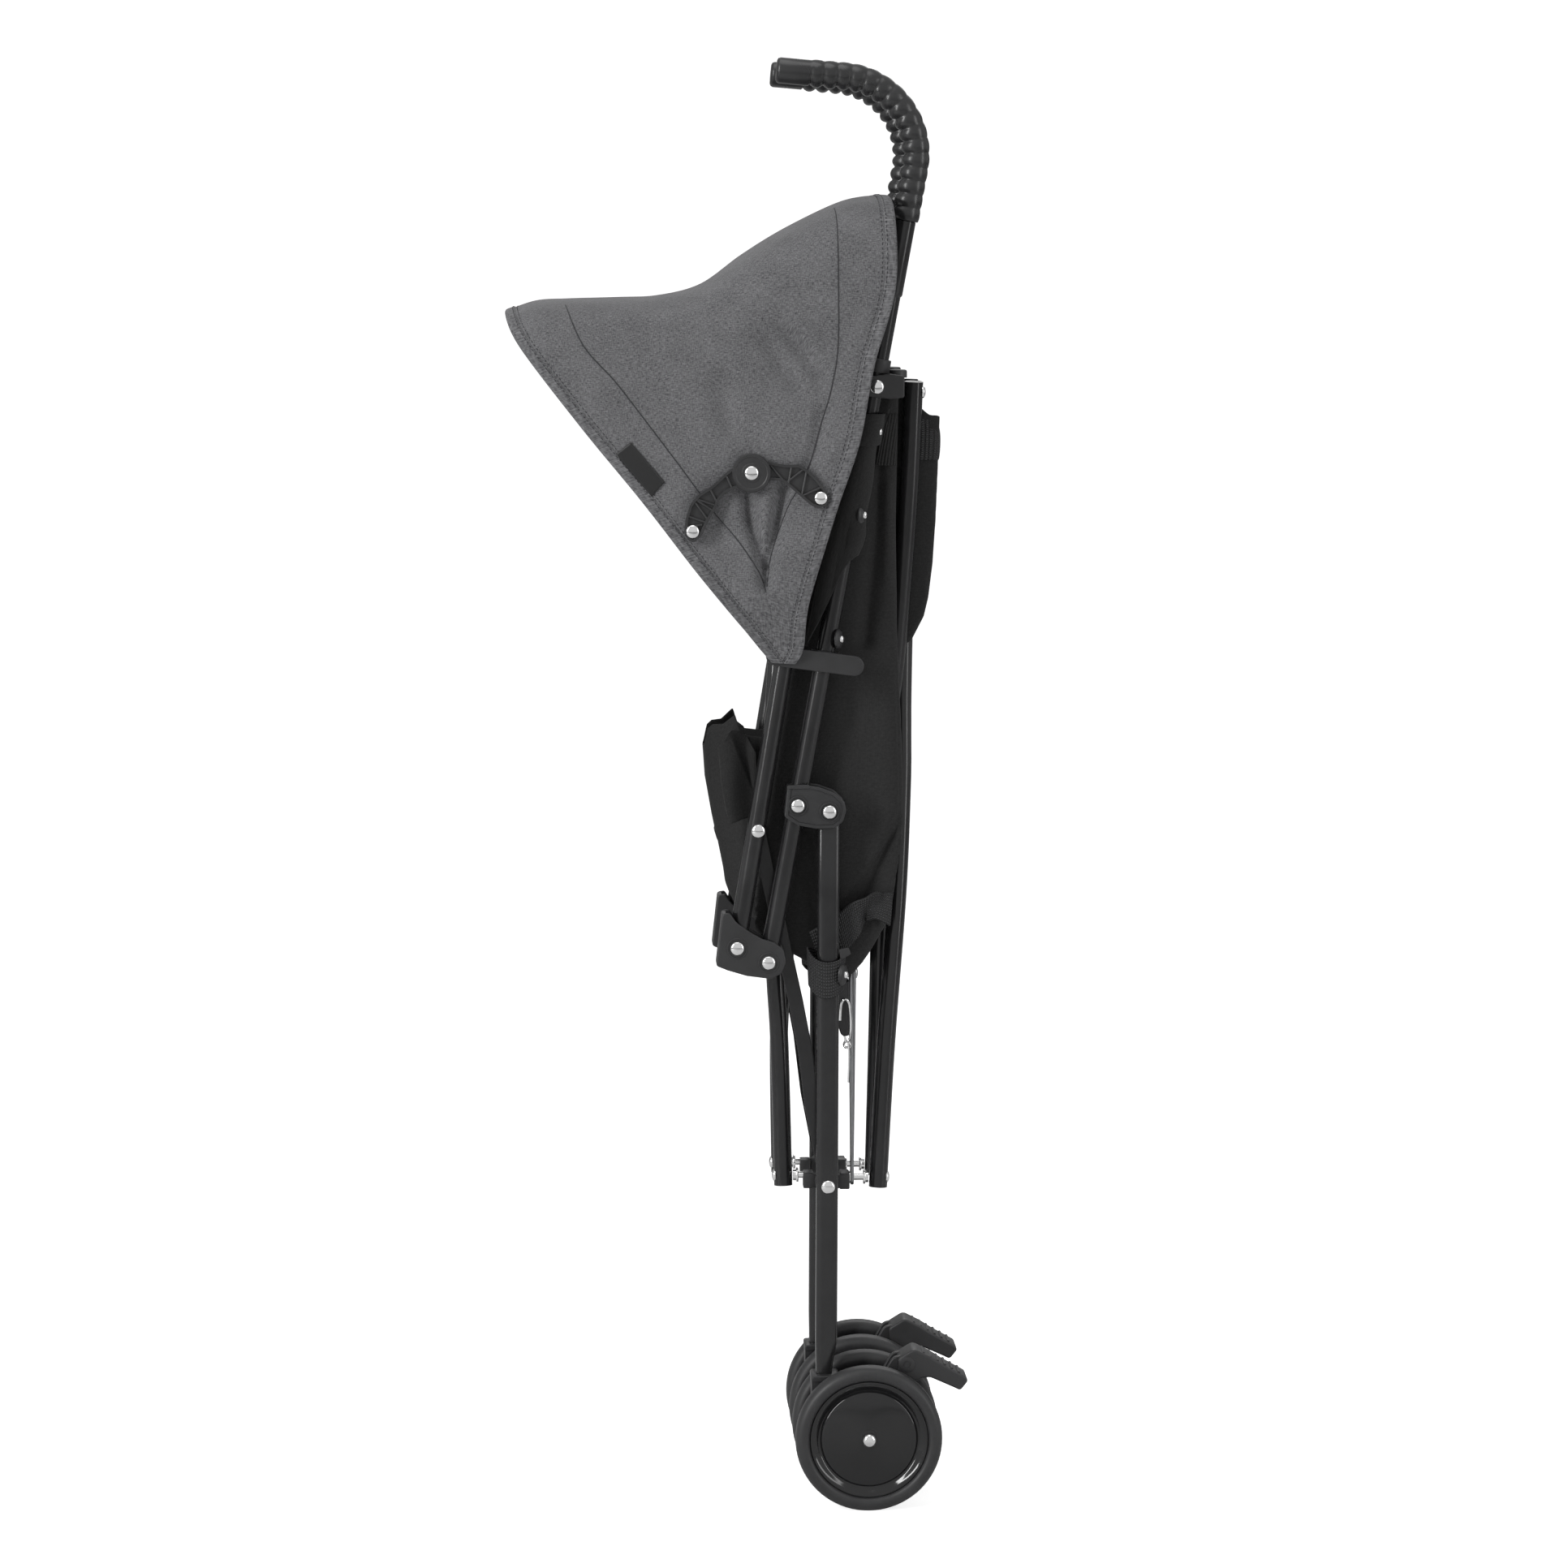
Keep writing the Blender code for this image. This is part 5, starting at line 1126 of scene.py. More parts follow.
class STROLLER_OT_lock(bpy.types.Operator):
    """Make the lock's pedal, its middle rivet and its spring wire"""

    bl_idname = "stroller.make_lock"
    bl_label = "Folding lock"

    def execute(self, context):
        nylon, chrome = finish_of("moulded_nylon"), finish_of("chrome_plate")
        high = HUB.x + 18.2
        outline = [(11.5, 392, 5), (high, 394, 1), (high, 352, 1), (14, 350, 4), (9.5, 366, 6)]
        piece("lock_pedal_moulded", slab(outline, -14.0, 8.0, 1.4), nylon, "left_lock",
              ["lock_pedal"])
        head = rivet(place(HUB.x + 23.8, LOCK_TOP, 0.0), (1, 0, 0), 4.4 * MM, 1.8)
        piece("lock_middle_rivet", head, chrome, "right_lock")
        wire = smooth_run([(14.6, 364), (15.4, 376), (18, 380), (21.4, 377), (22.8, 364), (22.2, 351),
                           (19.4, 347.6), (18, 352)], 40)
        loop = pipe([place(p.x - 2.0, p.y, -16.2) for p in wire], 0.9 * MM, 10)
        strand = pipe([place(x, z, -15.2) for x, z in ((19.0, 348.0), (19.6, 340.0), (19.4, 326.0),
                                                       (19.0, 316.0))],
                      0.9 * MM, 10)
        coil = [place(18.2 + 2.6 * cos(a), 345.0 + 2.6 * sin(a), -16.0 + 4.2 * a / 25.0)
                for a in (k * 2 * pi / 14 for k in range(57))]
        piece("lock_spring_wire", gather(loop, strand, pipe(coil, 0.8 * MM, 8)), chrome, "left_lock")
        return {"FINISHED"}


# Sheets of cloth: a grid whose points are laid on a surface

def cloth_grid(columns, rows, surface, chart):
    """A grid over (u, v) in 0..1 laid on surface(u, v), with chart(u, v) as its cloth map."""
    work = bmesh.new()
    bmesh.ops.create_grid(work, x_segments=columns, y_segments=rows, size=0.5)
    places = {vert: (vert.co.x + 0.5, vert.co.y + 0.5) for vert in work.verts}
    layer = work.loops.layers.uv.new("cloth")
    for face in work.faces:
        for loop in face.loops:
            loop[layer].uv = chart(*places[loop.vert])
    for vert, (u, v) in places.items():
        vert.co = surface(u, v)
    return work


WELD = 1e-6          # metres between points that are one


def sewn(shape, seam=None):
    """A sheet welded where its seam says, with its faces outwards."""
    if seam:
        bmesh.ops.remove_doubles(shape, verts=[vert for vert in shape.verts if seam(vert)], dist=WELD)
    bmesh.ops.recalc_face_normals(shape, faces=shape.faces)
    return shape


def at_middle(vert):
    return abs(vert.co.y) < WELD


def anywhere(vert):
    return True


def sheet_piece(name, shape, finish, thick, offset=-1.0, replaces=(), body=None):
    """A sheet with its thickness, that moves with a body if one is given."""
    made = piece(name, shape, finish, body, replaces, angle=SOFT_ANGLE)
    wall = made.modifiers.new("cloth", "SOLIDIFY")
    wall.thickness = thick
    wall.offset = offset
    wall.use_even_offset = False
    return made


def declare_sheet(made, width=None):
    """Work out the width a cloth was cut to, from its own area unless one is given; the result is not kept.
    """
    area = sum(face.area for face in made.data.polygons)
    width = width or sqrt(area)


# The canopy

CANOPY_FRONT_EDGE = [(-41, 641.5), (-49, 651), (-60, 665), (-99, 713.5), (-137, 763), (-181, 817),
                     (-225, 875), (-237, 900)]
CANOPY_REAR_EDGE = [(-24, 640.5), (-18.5, 652), (-15, 688), (3, 752), (21, 806), (31.5, 862),
                    (47, 920), (46, 985)]
CANOPY_RIDGE = [(-237, 900), (-215, 907.5), (-191, 909), (-154, 910), (-123, 911.5),
                (-91, 920), (-60, 942), (-29, 961), (9, 979.5), (30, 985), (46, 985)]
CANOPY_ROWS = 236
CANOPY_HALF_WIDE = 102.0
CANOPY_TIP_WIDE = 63.0
CANOPY_SHOULDER = 0.86
SIDE_SHARE = 0.72

# Creases of the slack cloth on each side: points of the side view, depth and half width
CREASES = [
    ([(-61, 772), (-58, 750), (-50, 722), (-47, 703)], 2.6, 5),
    ([(-33, 774), (-39.5, 745), (-44.5, 716)], 2.4, 4.5),
    ([(-47, 765), (-49, 742)], -1.2, 6),
    ([(-45, 903), (-28, 880), (-8, 855)], 2, 6),
    ([(-60, 900), (-40, 872), (-24, 848)], 1.6, 7),
    ([(-36, 907), (-12, 880)], -1, 6),
    ([(40, 908), (25, 868), (33, 846)], 2.2, 5),
    ([(-80, 850), (-72, 815), (-60, 800)], 1.4, 9),
    ([(-6, 826), (-10, 800), (-18, 783)], 1.3, 6),
    ([(10, 800), (2, 776)], 0.9, 5),
    ([(-150, 880), (-120, 842)], 0.8, 14),
    ([(-120, 900), (-60, 862)], -0.9, 16),
    ([(-90, 760), (-78, 735)], 0.9, 7),
]
CREASE_DEPTH = 2.8
CANOPY_BOWS = [f"{side}_{end}_canopy_bow" for side in ("left", "right") for end in ("front", "rear")]
FRONT_SEAM = [(-192.7, 905.5), (-179.7, 876.3), (-158.6, 852.5), (-145.3, 835.7), (-112.9, 792.9),
              (-98.6, 773.3),
              (-84.4, 754.3), (-66, 732.3), (-51, 709), (-47.1, 696)]
REAR_SEAM = [(5, 976), (5.6, 926.9), (5.4, 876), (0.4, 844.6), (-7.3, 817.4), (-14.4, 792), (-22.7, 773.7),
             (-31.2, 758.3), (-42.5, 725.6), (-46, 700)]
TAG = [(-145.8, 806.5), (-121.1, 777.5), (-130.6, 766.9), (-157.1, 797.7)]


def to_segment(point, a, b):
    way = b - a
    t = min(max((point - a).dot(way) / way.length_squared, 0.0), 1.0)
    return (point - a - way * t).length


def slack(spot):
    """How far the side cloth sinks at a side-view point, from its creases."""
    depth = 0.0
    for points, deep, half in CREASES:
        near = min(to_segment(spot, Vector(a), Vector(b)) for a, b in zip(points, points[1:]))
        if near < 3 * half:
            depth += CREASE_DEPTH * deep * exp(-(near / half) ** 2)
    swell = noise.noise(Vector((spot.x / 55.0, spot.y / 70.0, 3.0)))
    return depth - 2.6 * swell


def canopy_side(u, v):
    """The side-view point and the half width of the canopy at (u, v)."""
    front, rear = on_path(CANOPY_FRONT_EDGE, v), on_path(CANOPY_REAR_EDGE, v)
    ridge = on_path(CANOPY_RIDGE, u)
    chord = Vector(CANOPY_FRONT_EDGE[-1]).lerp(Vector(CANOPY_REAR_EDGE[-1]), u)
    spot = front.lerp(rear, u) + (ridge - chord) * v ** 1.5
    if v < 0.3:
        swell = sin(v / 0.3 * pi / 2) ** 1.3 if v > 0 else 0.0
        wide = CANOPY_TIP_WIDE + (CANOPY_HALF_WIDE - CANOPY_TIP_WIDE) * swell
    elif v < CANOPY_SHOULDER:
        wide = CANOPY_HALF_WIDE
    else:
        over = min((v - CANOPY_SHOULDER) / (1 - CANOPY_SHOULDER), 1.0)
        wide = CANOPY_HALF_WIDE * max(1 - over ** 3, 0.0) ** (1 / 3)
    if v < CANOPY_SHOULDER:
        hold = min(u, 1 - u) * 8.0
        wide -= slack(spot) * min(hold, 1.0) * blendin(v, 0.03, 0.14) * (1 - blendin(v, 0.78,
                                                                                     CANOPY_SHOULDER))
    return spot, wide


def canopy_v(b):
    """The share up the side from a share along the cloth, with close rows over the shoulder."""
    if b <= SIDE_SHARE:
        return b / SIDE_SHARE * CANOPY_SHOULDER
    angle = (b - SIDE_SHARE) / (1 - SIDE_SHARE) * pi / 2
    return CANOPY_SHOULDER + (1 - CANOPY_SHOULDER) * sin(angle) ** (2 / 3)


def canopy_spot(u, a):
    """The side, side-view point and half width at u, front to rear, and a, left tip to right."""
    share = 1.0 - abs(2.0 * a - 1.0)
    return -1.0 if a < 0.5 else 1.0, *canopy_side(u, canopy_v(min(share, 1.0)))


def canopy_place(u, a):
    """The canopy's outer face."""
    s, spot, wide = canopy_spot(u, a)
    return at_depth(spot, s * wide)


def canopy_chart(u, a):
    """The cloth map in metres: across is front to rear, up is along the cloth."""
    s, spot, wide = canopy_spot(u, a)
    return (spot.x * MM, s * (1085.0 - spot.y - (CANOPY_HALF_WIDE - wide)) * MM)


def canopy_normal(u, a):
    step = 0.004
    du = canopy_place(min(u + step, 1.0), a) - canopy_place(max(u - step, 0.0), a)
    da = canopy_place(u, min(a + step, 1.0)) - canopy_place(u, max(a - step, 0.0))
    normal = du.cross(da).normalized()
    outwards = canopy_place(u, a) - place(-60.0, 800.0, 0.0)
    return normal if normal.dot(outwards) > 0 else -normal


def find_on_canopy(x, z):
    """The (u, v) whose side-view point is (x, z)."""
    u, v = 0.5, 0.5
    for _ in range(30):
        here = canopy_side(u, v)[0]
        miss = Vector((x, z)) - here
        if miss.length < 0.01:
            break
        step = 1e-3
        du = (canopy_side(min(u + step, 1.0), v)[0] - canopy_side(u - step, v)[0]) / (2 * step)
        dv = (canopy_side(u, min(v + step, 1.0))[0] - canopy_side(u, max(v - step, 0.0))[0]) / (2 * step)
        det = du.x * dv.y - du.y * dv.x
        if abs(det) < 1e-6:
            break
        u += 0.8 * (miss.x * dv.y - miss.y * dv.x) / det
        v += 0.8 * (du.x * miss.y - du.y * miss.x) / det
        u, v = min(max(u, 0.002), 0.998), min(max(v, 0.005), 0.995)
    return u, v


def canopy_line(points, count):
    """Side-view points as (u, v) of the canopy, evenly spaced."""
    return [find_on_canopy(p.x, p.y) for p in smooth_run(points, count)]


def on_side(s, u, v, rise=0.0):
    """A point of the canopy's side cloth in the frame, raised from it."""
    spot, wide = canopy_side(u, v)
    return at_depth(spot, s * (wide + rise))


def binding(u_edge, inward, wide_mm, rows):
    """The folded binding along one edge: it wraps the cloth from its inner to its outer face."""
    section = [(7.4, -1.5), (5, -1.9), (2.4, -2), (0.4, -1.8), (-0.5, -1.1), (-0.75, -0.4), (-0.5, 0.35),
               (0.3, 0.85), (2.4, 1), (wide_mm - 2, 0.95), (wide_mm - 0.5, 0.75), (wide_mm, 0.15)]

    def laid(t, a):
        k = t * (len(section) - 1)
        low = min(int(k), len(section) - 2)
        w, rise = Vector(section[low]).lerp(Vector(section[low + 1]), k - low)
        width = (canopy_place(1.0, a) - canopy_place(0.0, a)).length / MM
        u = u_edge + inward * max(w, 0.0) / width
        spot = canopy_place(u, a) + canopy_normal(min(max(u, 0.01), 0.99), a) * rise * MM
        if w < 0:
            out = (canopy_place(u_edge, a) - canopy_place(u_edge + inward * 0.02, a)).normalized()
            spot += out * (-w) * MM
        return spot

    def chart(t, a):
        return (t * 0.018, a * 0.62)

    return cloth_grid(len(section) - 1, rows, laid, chart)


def stitches(line, pitch, long, thick=0.32):
    """Short raised stitches along a line of (point, normal), as small rounded blocks."""
    work = bmesh.new()
    walked = 0.0
    for (a, normal), (b, _) in zip(line, line[1:]):
        step = (b - a).length
        if step < 1e-7:
            continue
        way = (b - a) / step
        while walked < step:
            centre = a + way * walked + normal * 0.12 * MM
            side = normal.cross(way).normalized()
            turn = Matrix((side, way, normal)).transposed().to_4x4()
            size = Matrix.Diagonal((thick * MM, long / 2, thick * 0.7 * MM, 1.0))
            bmesh.ops.create_icosphere(work, subdivisions=1, radius=1.0,
                                       matrix=Matrix.Translation(centre) @ turn @ size)
            walked += pitch
        walked -= step
    return work


class STROLLER_OT_canopy(bpy.types.Operator):
    """Make the canopy's cloth with its binding, seams, stitches and blank tag"""

    bl_idname = "stroller.make_canopy"
    bl_label = "Canopy"

    def execute(self, context):
        sizes = context.scene.stroller_sizes
        heather, band = finish_of("heather_cloth"), finish_of("heather_binding")
        thread = finish_of("thread_and_seam_shade")
        shape = sewn(cloth_grid(118, CANOPY_ROWS, canopy_place, canopy_chart))
        cloth = sheet_piece("canopy_cloth", shape, heather, sizes.cloth_thickness,
                            replaces=["left_canopy", "right_canopy"])
        extras = []
        for name, edge, inward in (("front", 0.0, 1.0), ("rear", 1.0, -1.0)):
            strip = sewn(binding(edge, inward, 8.6, CANOPY_ROWS))
            extras.append(piece(f"canopy_{name}_binding", strip, band, None, angle=SOFT_ANGLE))
            for k, inset in enumerate((7.4, 10.4)):
                line = []
                for step in range(300):
                    a = 0.004 + 0.992 * step / 299
                    width = (canopy_place(1.0, a) - canopy_place(0.0, a)).length / MM
                    u = edge + inward * inset / width
                    normal = canopy_normal(u, a)
                    line.append((canopy_place(u, a) + normal * (0.95 if k == 0 else 0.0) * MM, normal))
                row = stitches(line, sizes.stitch_pitch, 0.0024)
                extras.append(piece(f"canopy_{name}_stitches_{k + 1}", row, thread, None,
                                    angle=SOFT_ANGLE))
        for name, points in (("front", FRONT_SEAM), ("rear", REAR_SEAM)):
            found = canopy_line(points, 70)
            for side, s in SIDES:
                # a continuous dark cord along each seam: partly the seam's thread, partly painted shade of
                # its groove
                ridge = pipe([on_side(s, u, v, 0.1) for u, v in found], 0.42 * MM, 6)
                extras.append(piece(f"{side}_{name}_seam", ridge, thread, None, angle=SOFT_ANGLE))
        corners = [Vector(corner) for corner in TAG]

        def tag_place(p, q):
            spot = corners[0].lerp(corners[1], p).lerp(corners[3].lerp(corners[2], p), q)
            u, v = find_on_canopy(spot.x, spot.y)
            return on_side(-1.0, u, v, 0.75 + 0.25 * sin(pi * p) - 0.3 * q)

        tag = cloth_grid(24, 10, tag_place, lambda p, q: (p * 0.038, q * 0.015))
        sheet_piece("canopy_tag", tag, finish_of("black_satin_tape"), 0.0005, 0.0, body="left_push")
        declare_sheet(cloth, width=0.46)
        for made in [cloth, *extras]:
            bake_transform(made)
        for node in CANOPY_BOWS:
            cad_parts[node].data.materials[0] = finish_of("zinc_plated_steel")
        return {"FINISHED"}


# The canopy's folding struts

FRONT_ARM = [(-59, 791), (-66, 791), (-74.8, 785.8), (-87, 774.5), (-96.5, 768.5), (-102.5, 761.4),
             (-106.1, 750.5),
             (-107, 741.5), (-104.3, 735), (-99.8, 733.6), (-94.3, 738.6), (-89.8, 748.7), (-84.3, 757.7),
             (-80.7, 765.9), (-76.1, 770.4), (-66, 774.5), (-59, 776)]
REAR_ARM = [(-50.6, 792.6), (-42.6, 791.6), (-33.5, 789.8), (-22.6, 789.8), (-16.2, 785.7), (-9.9, 779.3),
            (-3, 770.8), (-1.4, 764.7), (-4.4, 759.4), (-9, 758.2), (-14.4, 760.4), (-22.6, 767.5),
            (-29.9, 773.9), (-35.3, 778), (-43.5, 778.9), (-50, 777.7)]
FRONT_RIBS = [[(-71.5, 771.6), (-76.1, 781.8)], [(-82.9, 762.4), (-88.2, 772.6)],
              [(-84.2, 760.7), (-97.6, 765.2)],
              [(-86.4, 757), (-97.8, 764.4)], [(-89.8, 750), (-98.8, 762.5)],
              [(-91.3, 748.3), (-103.6, 752.6)],
              [(-94, 746.6), (-105.2, 745)]]
REAR_RIBS = [[(-44.6, 790.2), (-33.1, 777)], [(-32.6, 776.8), (-19.3, 787)], [(-30.9, 775.6), (-28.6, 788.9)],
             [(-21, 768.2), (-17.6, 785.3)], [(-20.2, 767.5), (-6.1, 773.9)]]


STRUT_THICK = 3.2


def strut_arm(outline, ribs, s, base):
    """An arm with a raised rim and truss ribs round a sunk web."""
    work = bmesh.new()
    verts = [work.verts.new((x * MM, z * MM, 0.0)) for x, z in outline]
    work.faces.new(verts)
    bmesh.ops.bevel(work, geom=verts, offset=1.6 * MM, offset_type="ABSOLUTE", segments=3, profile=0.5,
                    affect="VERTICES", material=-1)
    grown = bmesh.ops.extrude_face_region(work, geom=list(work.faces), use_keep_orig=True)["geom"]
    top = [item for item in grown if isinstance(item, bmesh.types.BMFace)]
    bmesh.ops.translate(work, vec=(0, 0, STRUT_THICK * MM), verts=verts_of(grown))
    bmesh.ops.recalc_face_normals(work, faces=work.faces)
    bmesh.ops.inset_region(work, faces=top, thickness=1.7 * MM, use_even_offset=True)
    bmesh.ops.inset_region(work, faces=top, thickness=0.25 * MM, depth=-0.25 * MM, use_even_offset=True)
    bmesh.ops.inset_region(work, faces=top, thickness=0.12 * MM, depth=-2.2 * MM, use_even_offset=True)
    turn = Matrix(((1, 0, 0, FRAME_X * MM), (0, 0, s, s * base * MM), (0, 1, 0, 0), (0, 0, 0, 1)))
    bmesh.ops.transform(work, matrix=turn, verts=work.verts)
    bmesh.ops.recalc_face_normals(work, faces=work.faces)
    bars = [pipe([place(x, z, s * (base + 2.1)) for x, z in rib], 0.9 * MM, 8) for rib in ribs]
    return gather(work, *bars)


def knuckle(s, base, tall):
    profile = [(0, 0), (13.6, 0), (14.2, 0.4), (14.2, tall - 0.7), (13.6, tall), (11.9, tall),
               (11.2, tall - 0.5),
               (7.2, tall - 0.6), (6.7, tall - 0.2), (0, tall - 0.2)]
    return lathe(profile, place(KNUCKLE.x - 1.0, KNUCKLE.y + 1.2, s * base), (0, s, 0), 64)


class STROLLER_OT_struts(bpy.types.Operator):
    """Make the folding struts on the canopy's sides"""

    bl_idname = "stroller.make_struts"
    bl_label = "Canopy struts"

    def execute(self, context):
        nylon, chrome = finish_of("moulded_nylon"), finish_of("chrome_plate")
        for side, s in SIDES:
            push = f"{side}_push"
            piece(f"{side}_front_strut_moulded", gather(strut_arm(FRONT_ARM, FRONT_RIBS, s, 105.0),
                                                        knuckle(s, 105.0, 3.9)),
                  nylon, push, [f"{side}_front_canopy_strut"])
            piece(f"{side}_rear_strut_moulded", gather(strut_arm(REAR_ARM, REAR_RIBS, s, 102.5),
                                                       knuckle(s, 102.5, 2.4)),
                  nylon, push, [f"{side}_rear_canopy_strut"])
            heads = [rivet(place(-57.9, 784.2, s * 108.6), (0, s, 0), 5.2 * MM, 2.0),
                     rivet(place(-7.2, 765.7, s * 105.5), (0, s, 0), 4.9 * MM, 2.2),
                     rivet(place(-100.9, 741.6, s * 108.0), (0, s, 0), 4.9 * MM, 2.0)]
            piece(f"{side}_strut_rivets", gather(*heads), chrome, push)
        return {"FINISHED"}


# The seat sling, its sleeves, studs and bands

# Half plan sections of the folded sling at falling heights, as x of: the front, the rear edge that
# shows beside the crosses, the fold behind them, half the gap the fold passes through, and the
# front of the slack lobe at each side, between the push tube and the rear leg
SLING_ROWS = [(399, 2, 19, 9, 9, 1), (410, -6, 28, 18, 9, -10),
              (419, -12, 33.5, 26, 9, -25), (429, -14, 38.5, 30, 9.5, -45),
              (438, -15, 43.5, 33, 10, -51), (464, -16, 50.2, 35, 11, -51),
              (507, -16, 56, 36, 11, -47), (545, -15, 56.5, 36, 8, -42),
              (590, -13, 55, 36.5, 6, -34), (622, -12, 54, 42, 3.5, -28.5),
              (640, -11, 53.5, 45, 2.6, -25.5), (652, -10, 53.5, 66, 2.1, -23),
              (670.5, -9, 53, 75.5, 2.4, -19.5), (684.5, -8.5, 53, 78.8, 3.6, -17),
              (710.7, -5, 52.5, 82, 6, -12), (743.4, 2, 52, 84, 8.6, -4),
              (786, 16, 52.8, 85.4, 12, 14), (822, 27, 53.5, 86, 14, 26),
              (838, 31, 54, 86.4, 14.5, 30)]
SLING_FOOT, SLING_TOP = 399.0, 838.0
SLING_WIDE = 36.0
SLEEVE_TOP = 825.0
HEM_STITCH_Z = 801.2

# Soft folds of the sling's side: points, depth and half width, with + sinking
SLING_FOLDS = [([(56, 522), (34, 474), (24, 452)], 2.4, 4), ([(50, 505), (40, 470)], 1.6, 7),
               ([(-8, 508), (4, 470), (9, 430)], 2.2, 4), ([(-12, 480), (-4, 440)], 1.6, 5),
               ([(20, 600), (28, 520)], 1, 9), ([(44, 610), (46, 530)], -1.2, 8),
               ([(40, 790), (38, 730), (30, 655)], 3.2, 6), ([(47, 770), (46, 700)], -1, 4)]


def folded(p):
    """The side, and the share of a half section, at a share of the whole way round."""
    return (-1.0, 2.0 * p) if p < 0.5 else (1.0, 2.0 - 2.0 * p)


def sling_section(z):
    """The half section at a height, from the middle of the front round to the fold behind."""
    front, edge, out, gap, lobe = interpolate(SLING_ROWS, z)
    wide = SLING_WIDE - 13.0 * (1 - blendin(z, 392.0, 436.0))
    inner = min(edge - 3.0, out)
    wave = 1.6 * sin(z / 19.0)
    points = [(front, 0), (front + 1.5 + wave, 0.36 * wide), (front + 2 - wave, 0.7 * wide),
              ((front + lobe) / 2 + 1.5, wide - 7.4),
              (lobe + 1.5, wide - 5.4), (lobe, wide - 4), (lobe + 1.5, wide - 2.6),
              ((front + lobe) / 2 + 6, wide - 1.5),
              (front + 18, wide + 0.6), ((front + edge) / 2 + 6, wide), (edge - 7, wide - 0.6),
              (edge - 1.2, wide - 4),
              (edge, wide - 9)]
    if out > edge + 6.0:
        points += [(edge - 0.6, gap + 6.0), (edge + 1.0, gap + 1.2), (edge + 6.0, gap),
                   (out - 3.0, gap * 0.96),
                   (out - 0.6, gap * 0.6), (out, 0.0)]
    else:
        points += [(inner - 3.0, gap + 9.0), (inner - 1.0, gap + 4.0), (inner, gap), (inner + 0.4, gap * 0.7),
                   (inner + 0.2, gap * 0.35), (inner, 0.0)]
    return points


def sling_place(p, q):
    """The sling's outer face: p runs round the section from the front middle, q from foot to top."""
    z = SLING_FOOT + (SLING_TOP - SLING_FOOT) * q
    s, half = folded(p)
    spot = on_path(sling_section(z), half)
    side = blendin(spot.y, SLING_WIDE - 8.0, SLING_WIDE - 1.0)
    sink = 0.0
    if side > 0:
        here = Vector((spot.x, z))
        for points, deep, wide in SLING_FOLDS:
            near = min(to_segment(here, Vector(a), Vector(b)) for a, b in zip(points, points[1:]))
            sink += 1.5 * deep * exp(-(near / wide) ** 2)
        below = (here - Vector((56.0, 520.0))).dot(Vector((0.8, -0.6)).normalized())
        sink += 3.4 * blendin(below, 0.0, 4.0) * blendin(z, 440.0, 470.0)
        sink += 0.9 * noise.noise(Vector((spot.x / 26.0, z / 60.0, 1.0 + s)))
    rise = 17.0 * blendin(spot.x, 58.0, 84.0) * blendin(z, 800.0, SLING_TOP)
    return place(spot.x, z - rise, s * max(spot.y - sink * side, 0.0))


def sling_chart(p, q):
    z = SLING_FOOT + (SLING_TOP - SLING_FOOT) * q
    return (p * 0.30, z * MM)


def flap_hem(angle):
    """The height of a sleeve's lower hem: angle 0 is the rear, 90 the outer side, 180 the front."""
    table = [(0, 721), (35, 720), (60, 716), (90, 706), (120, 688), (150, 668), (180, 652),
             (230, 668), (290, 715), (360, 721)]
    return interpolate(table, angle)[0]


def flap_place(s, p, q):
    """A sleeve round the push tube: p is the way round from the rear, q from hem to top."""
    angle = 360.0 * p
    low = flap_hem(angle)
    z = low + (SLEEVE_TOP - low) * q
    share = (z - PUSH_FOOT.y) / PUSH_UP.y
    middle = along(PUSH_FOOT, PUSH_UP, share)
    turn = radians(angle)
    reach = 8.9 + 2.6 * blendin(z, 801.6, 803.0)
    reach += 3.6 * exp(-((z - 733.0) / 13.0) ** 2) * max(cos(turn), 0.0) ** 0.7
    reach += 1.7 * exp(-((z - 770.0) / 20.0) ** 2) * max(cos(turn), 0.0)
    reach += 6.0 * max(-cos(turn - 0.5), 0.0) * (1 - blendin(z, 690.0, 790.0))
    reach += 0.5 * sin(3.0 * turn + z / 23.0)
    y = s * (HALF_TRACK + reach * 0.96 * sin(turn))
    return place(middle.x + reach * cos(turn), z, y)


def stud(centre, way, tall=7.4):
    """A soft black washer and the plated screw through it."""
    washer = [(0, 0), (tall, 0), (tall, 0.9), (tall - 0.8, 2), (tall - 2.6, 2.9), (3.2, 3.1), (0, 3.1)]
    head = [(0, 2.9), (3, 2.9), (3, 3.7), (2.6, 4.4), (1.7, 4.9), (0, 5.1)]
    return lathe(washer, centre, way, 40), lathe(head, centre, way, 32)


def ribbed_band(s):
    """The ribbed elastic at the top of the sling's side."""
    def laid(p, q):
        z = 786.0 + 38.0 * q
        section = sling_section(z)
        spot = on_path(section, 0.43 + 0.2 * p)
        rib = 0.45 * cos(2 * pi * p * 11)
        return place(spot.x + 0.3 * p, z, s * (spot.y + 1.2 + rib))
    return cloth_grid(132, 24, laid, lambda p, q: (p * 0.02, q * 0.038))


def back_band(p, q):
    """The coarse webbing that binds the top of the fold behind the crosses."""
    z = 788.5 + 31.0 * q
    edge = 86.9 + 1.3 * sin(pi * min(q * 1.1, 1.0)) ** 0.6
    gap = interpolate(SLING_ROWS, z)[3] + 1.3
    section = [(57, gap - 2.6), (62, gap), (80, gap), (edge - 2.6, gap * 0.9), (edge - 0.4, gap * 0.6),
               (edge, 0)]
    s, half = folded(p)
    spot = on_path(section, half)
    drop = 3.4 * blendin(spot.x, 74.0, 88.0) * blendin(q, 0.5, 1.0)
    return place(spot.x, z - drop, s * spot.y)


# The calf pouch, slack in front of the folded front legs

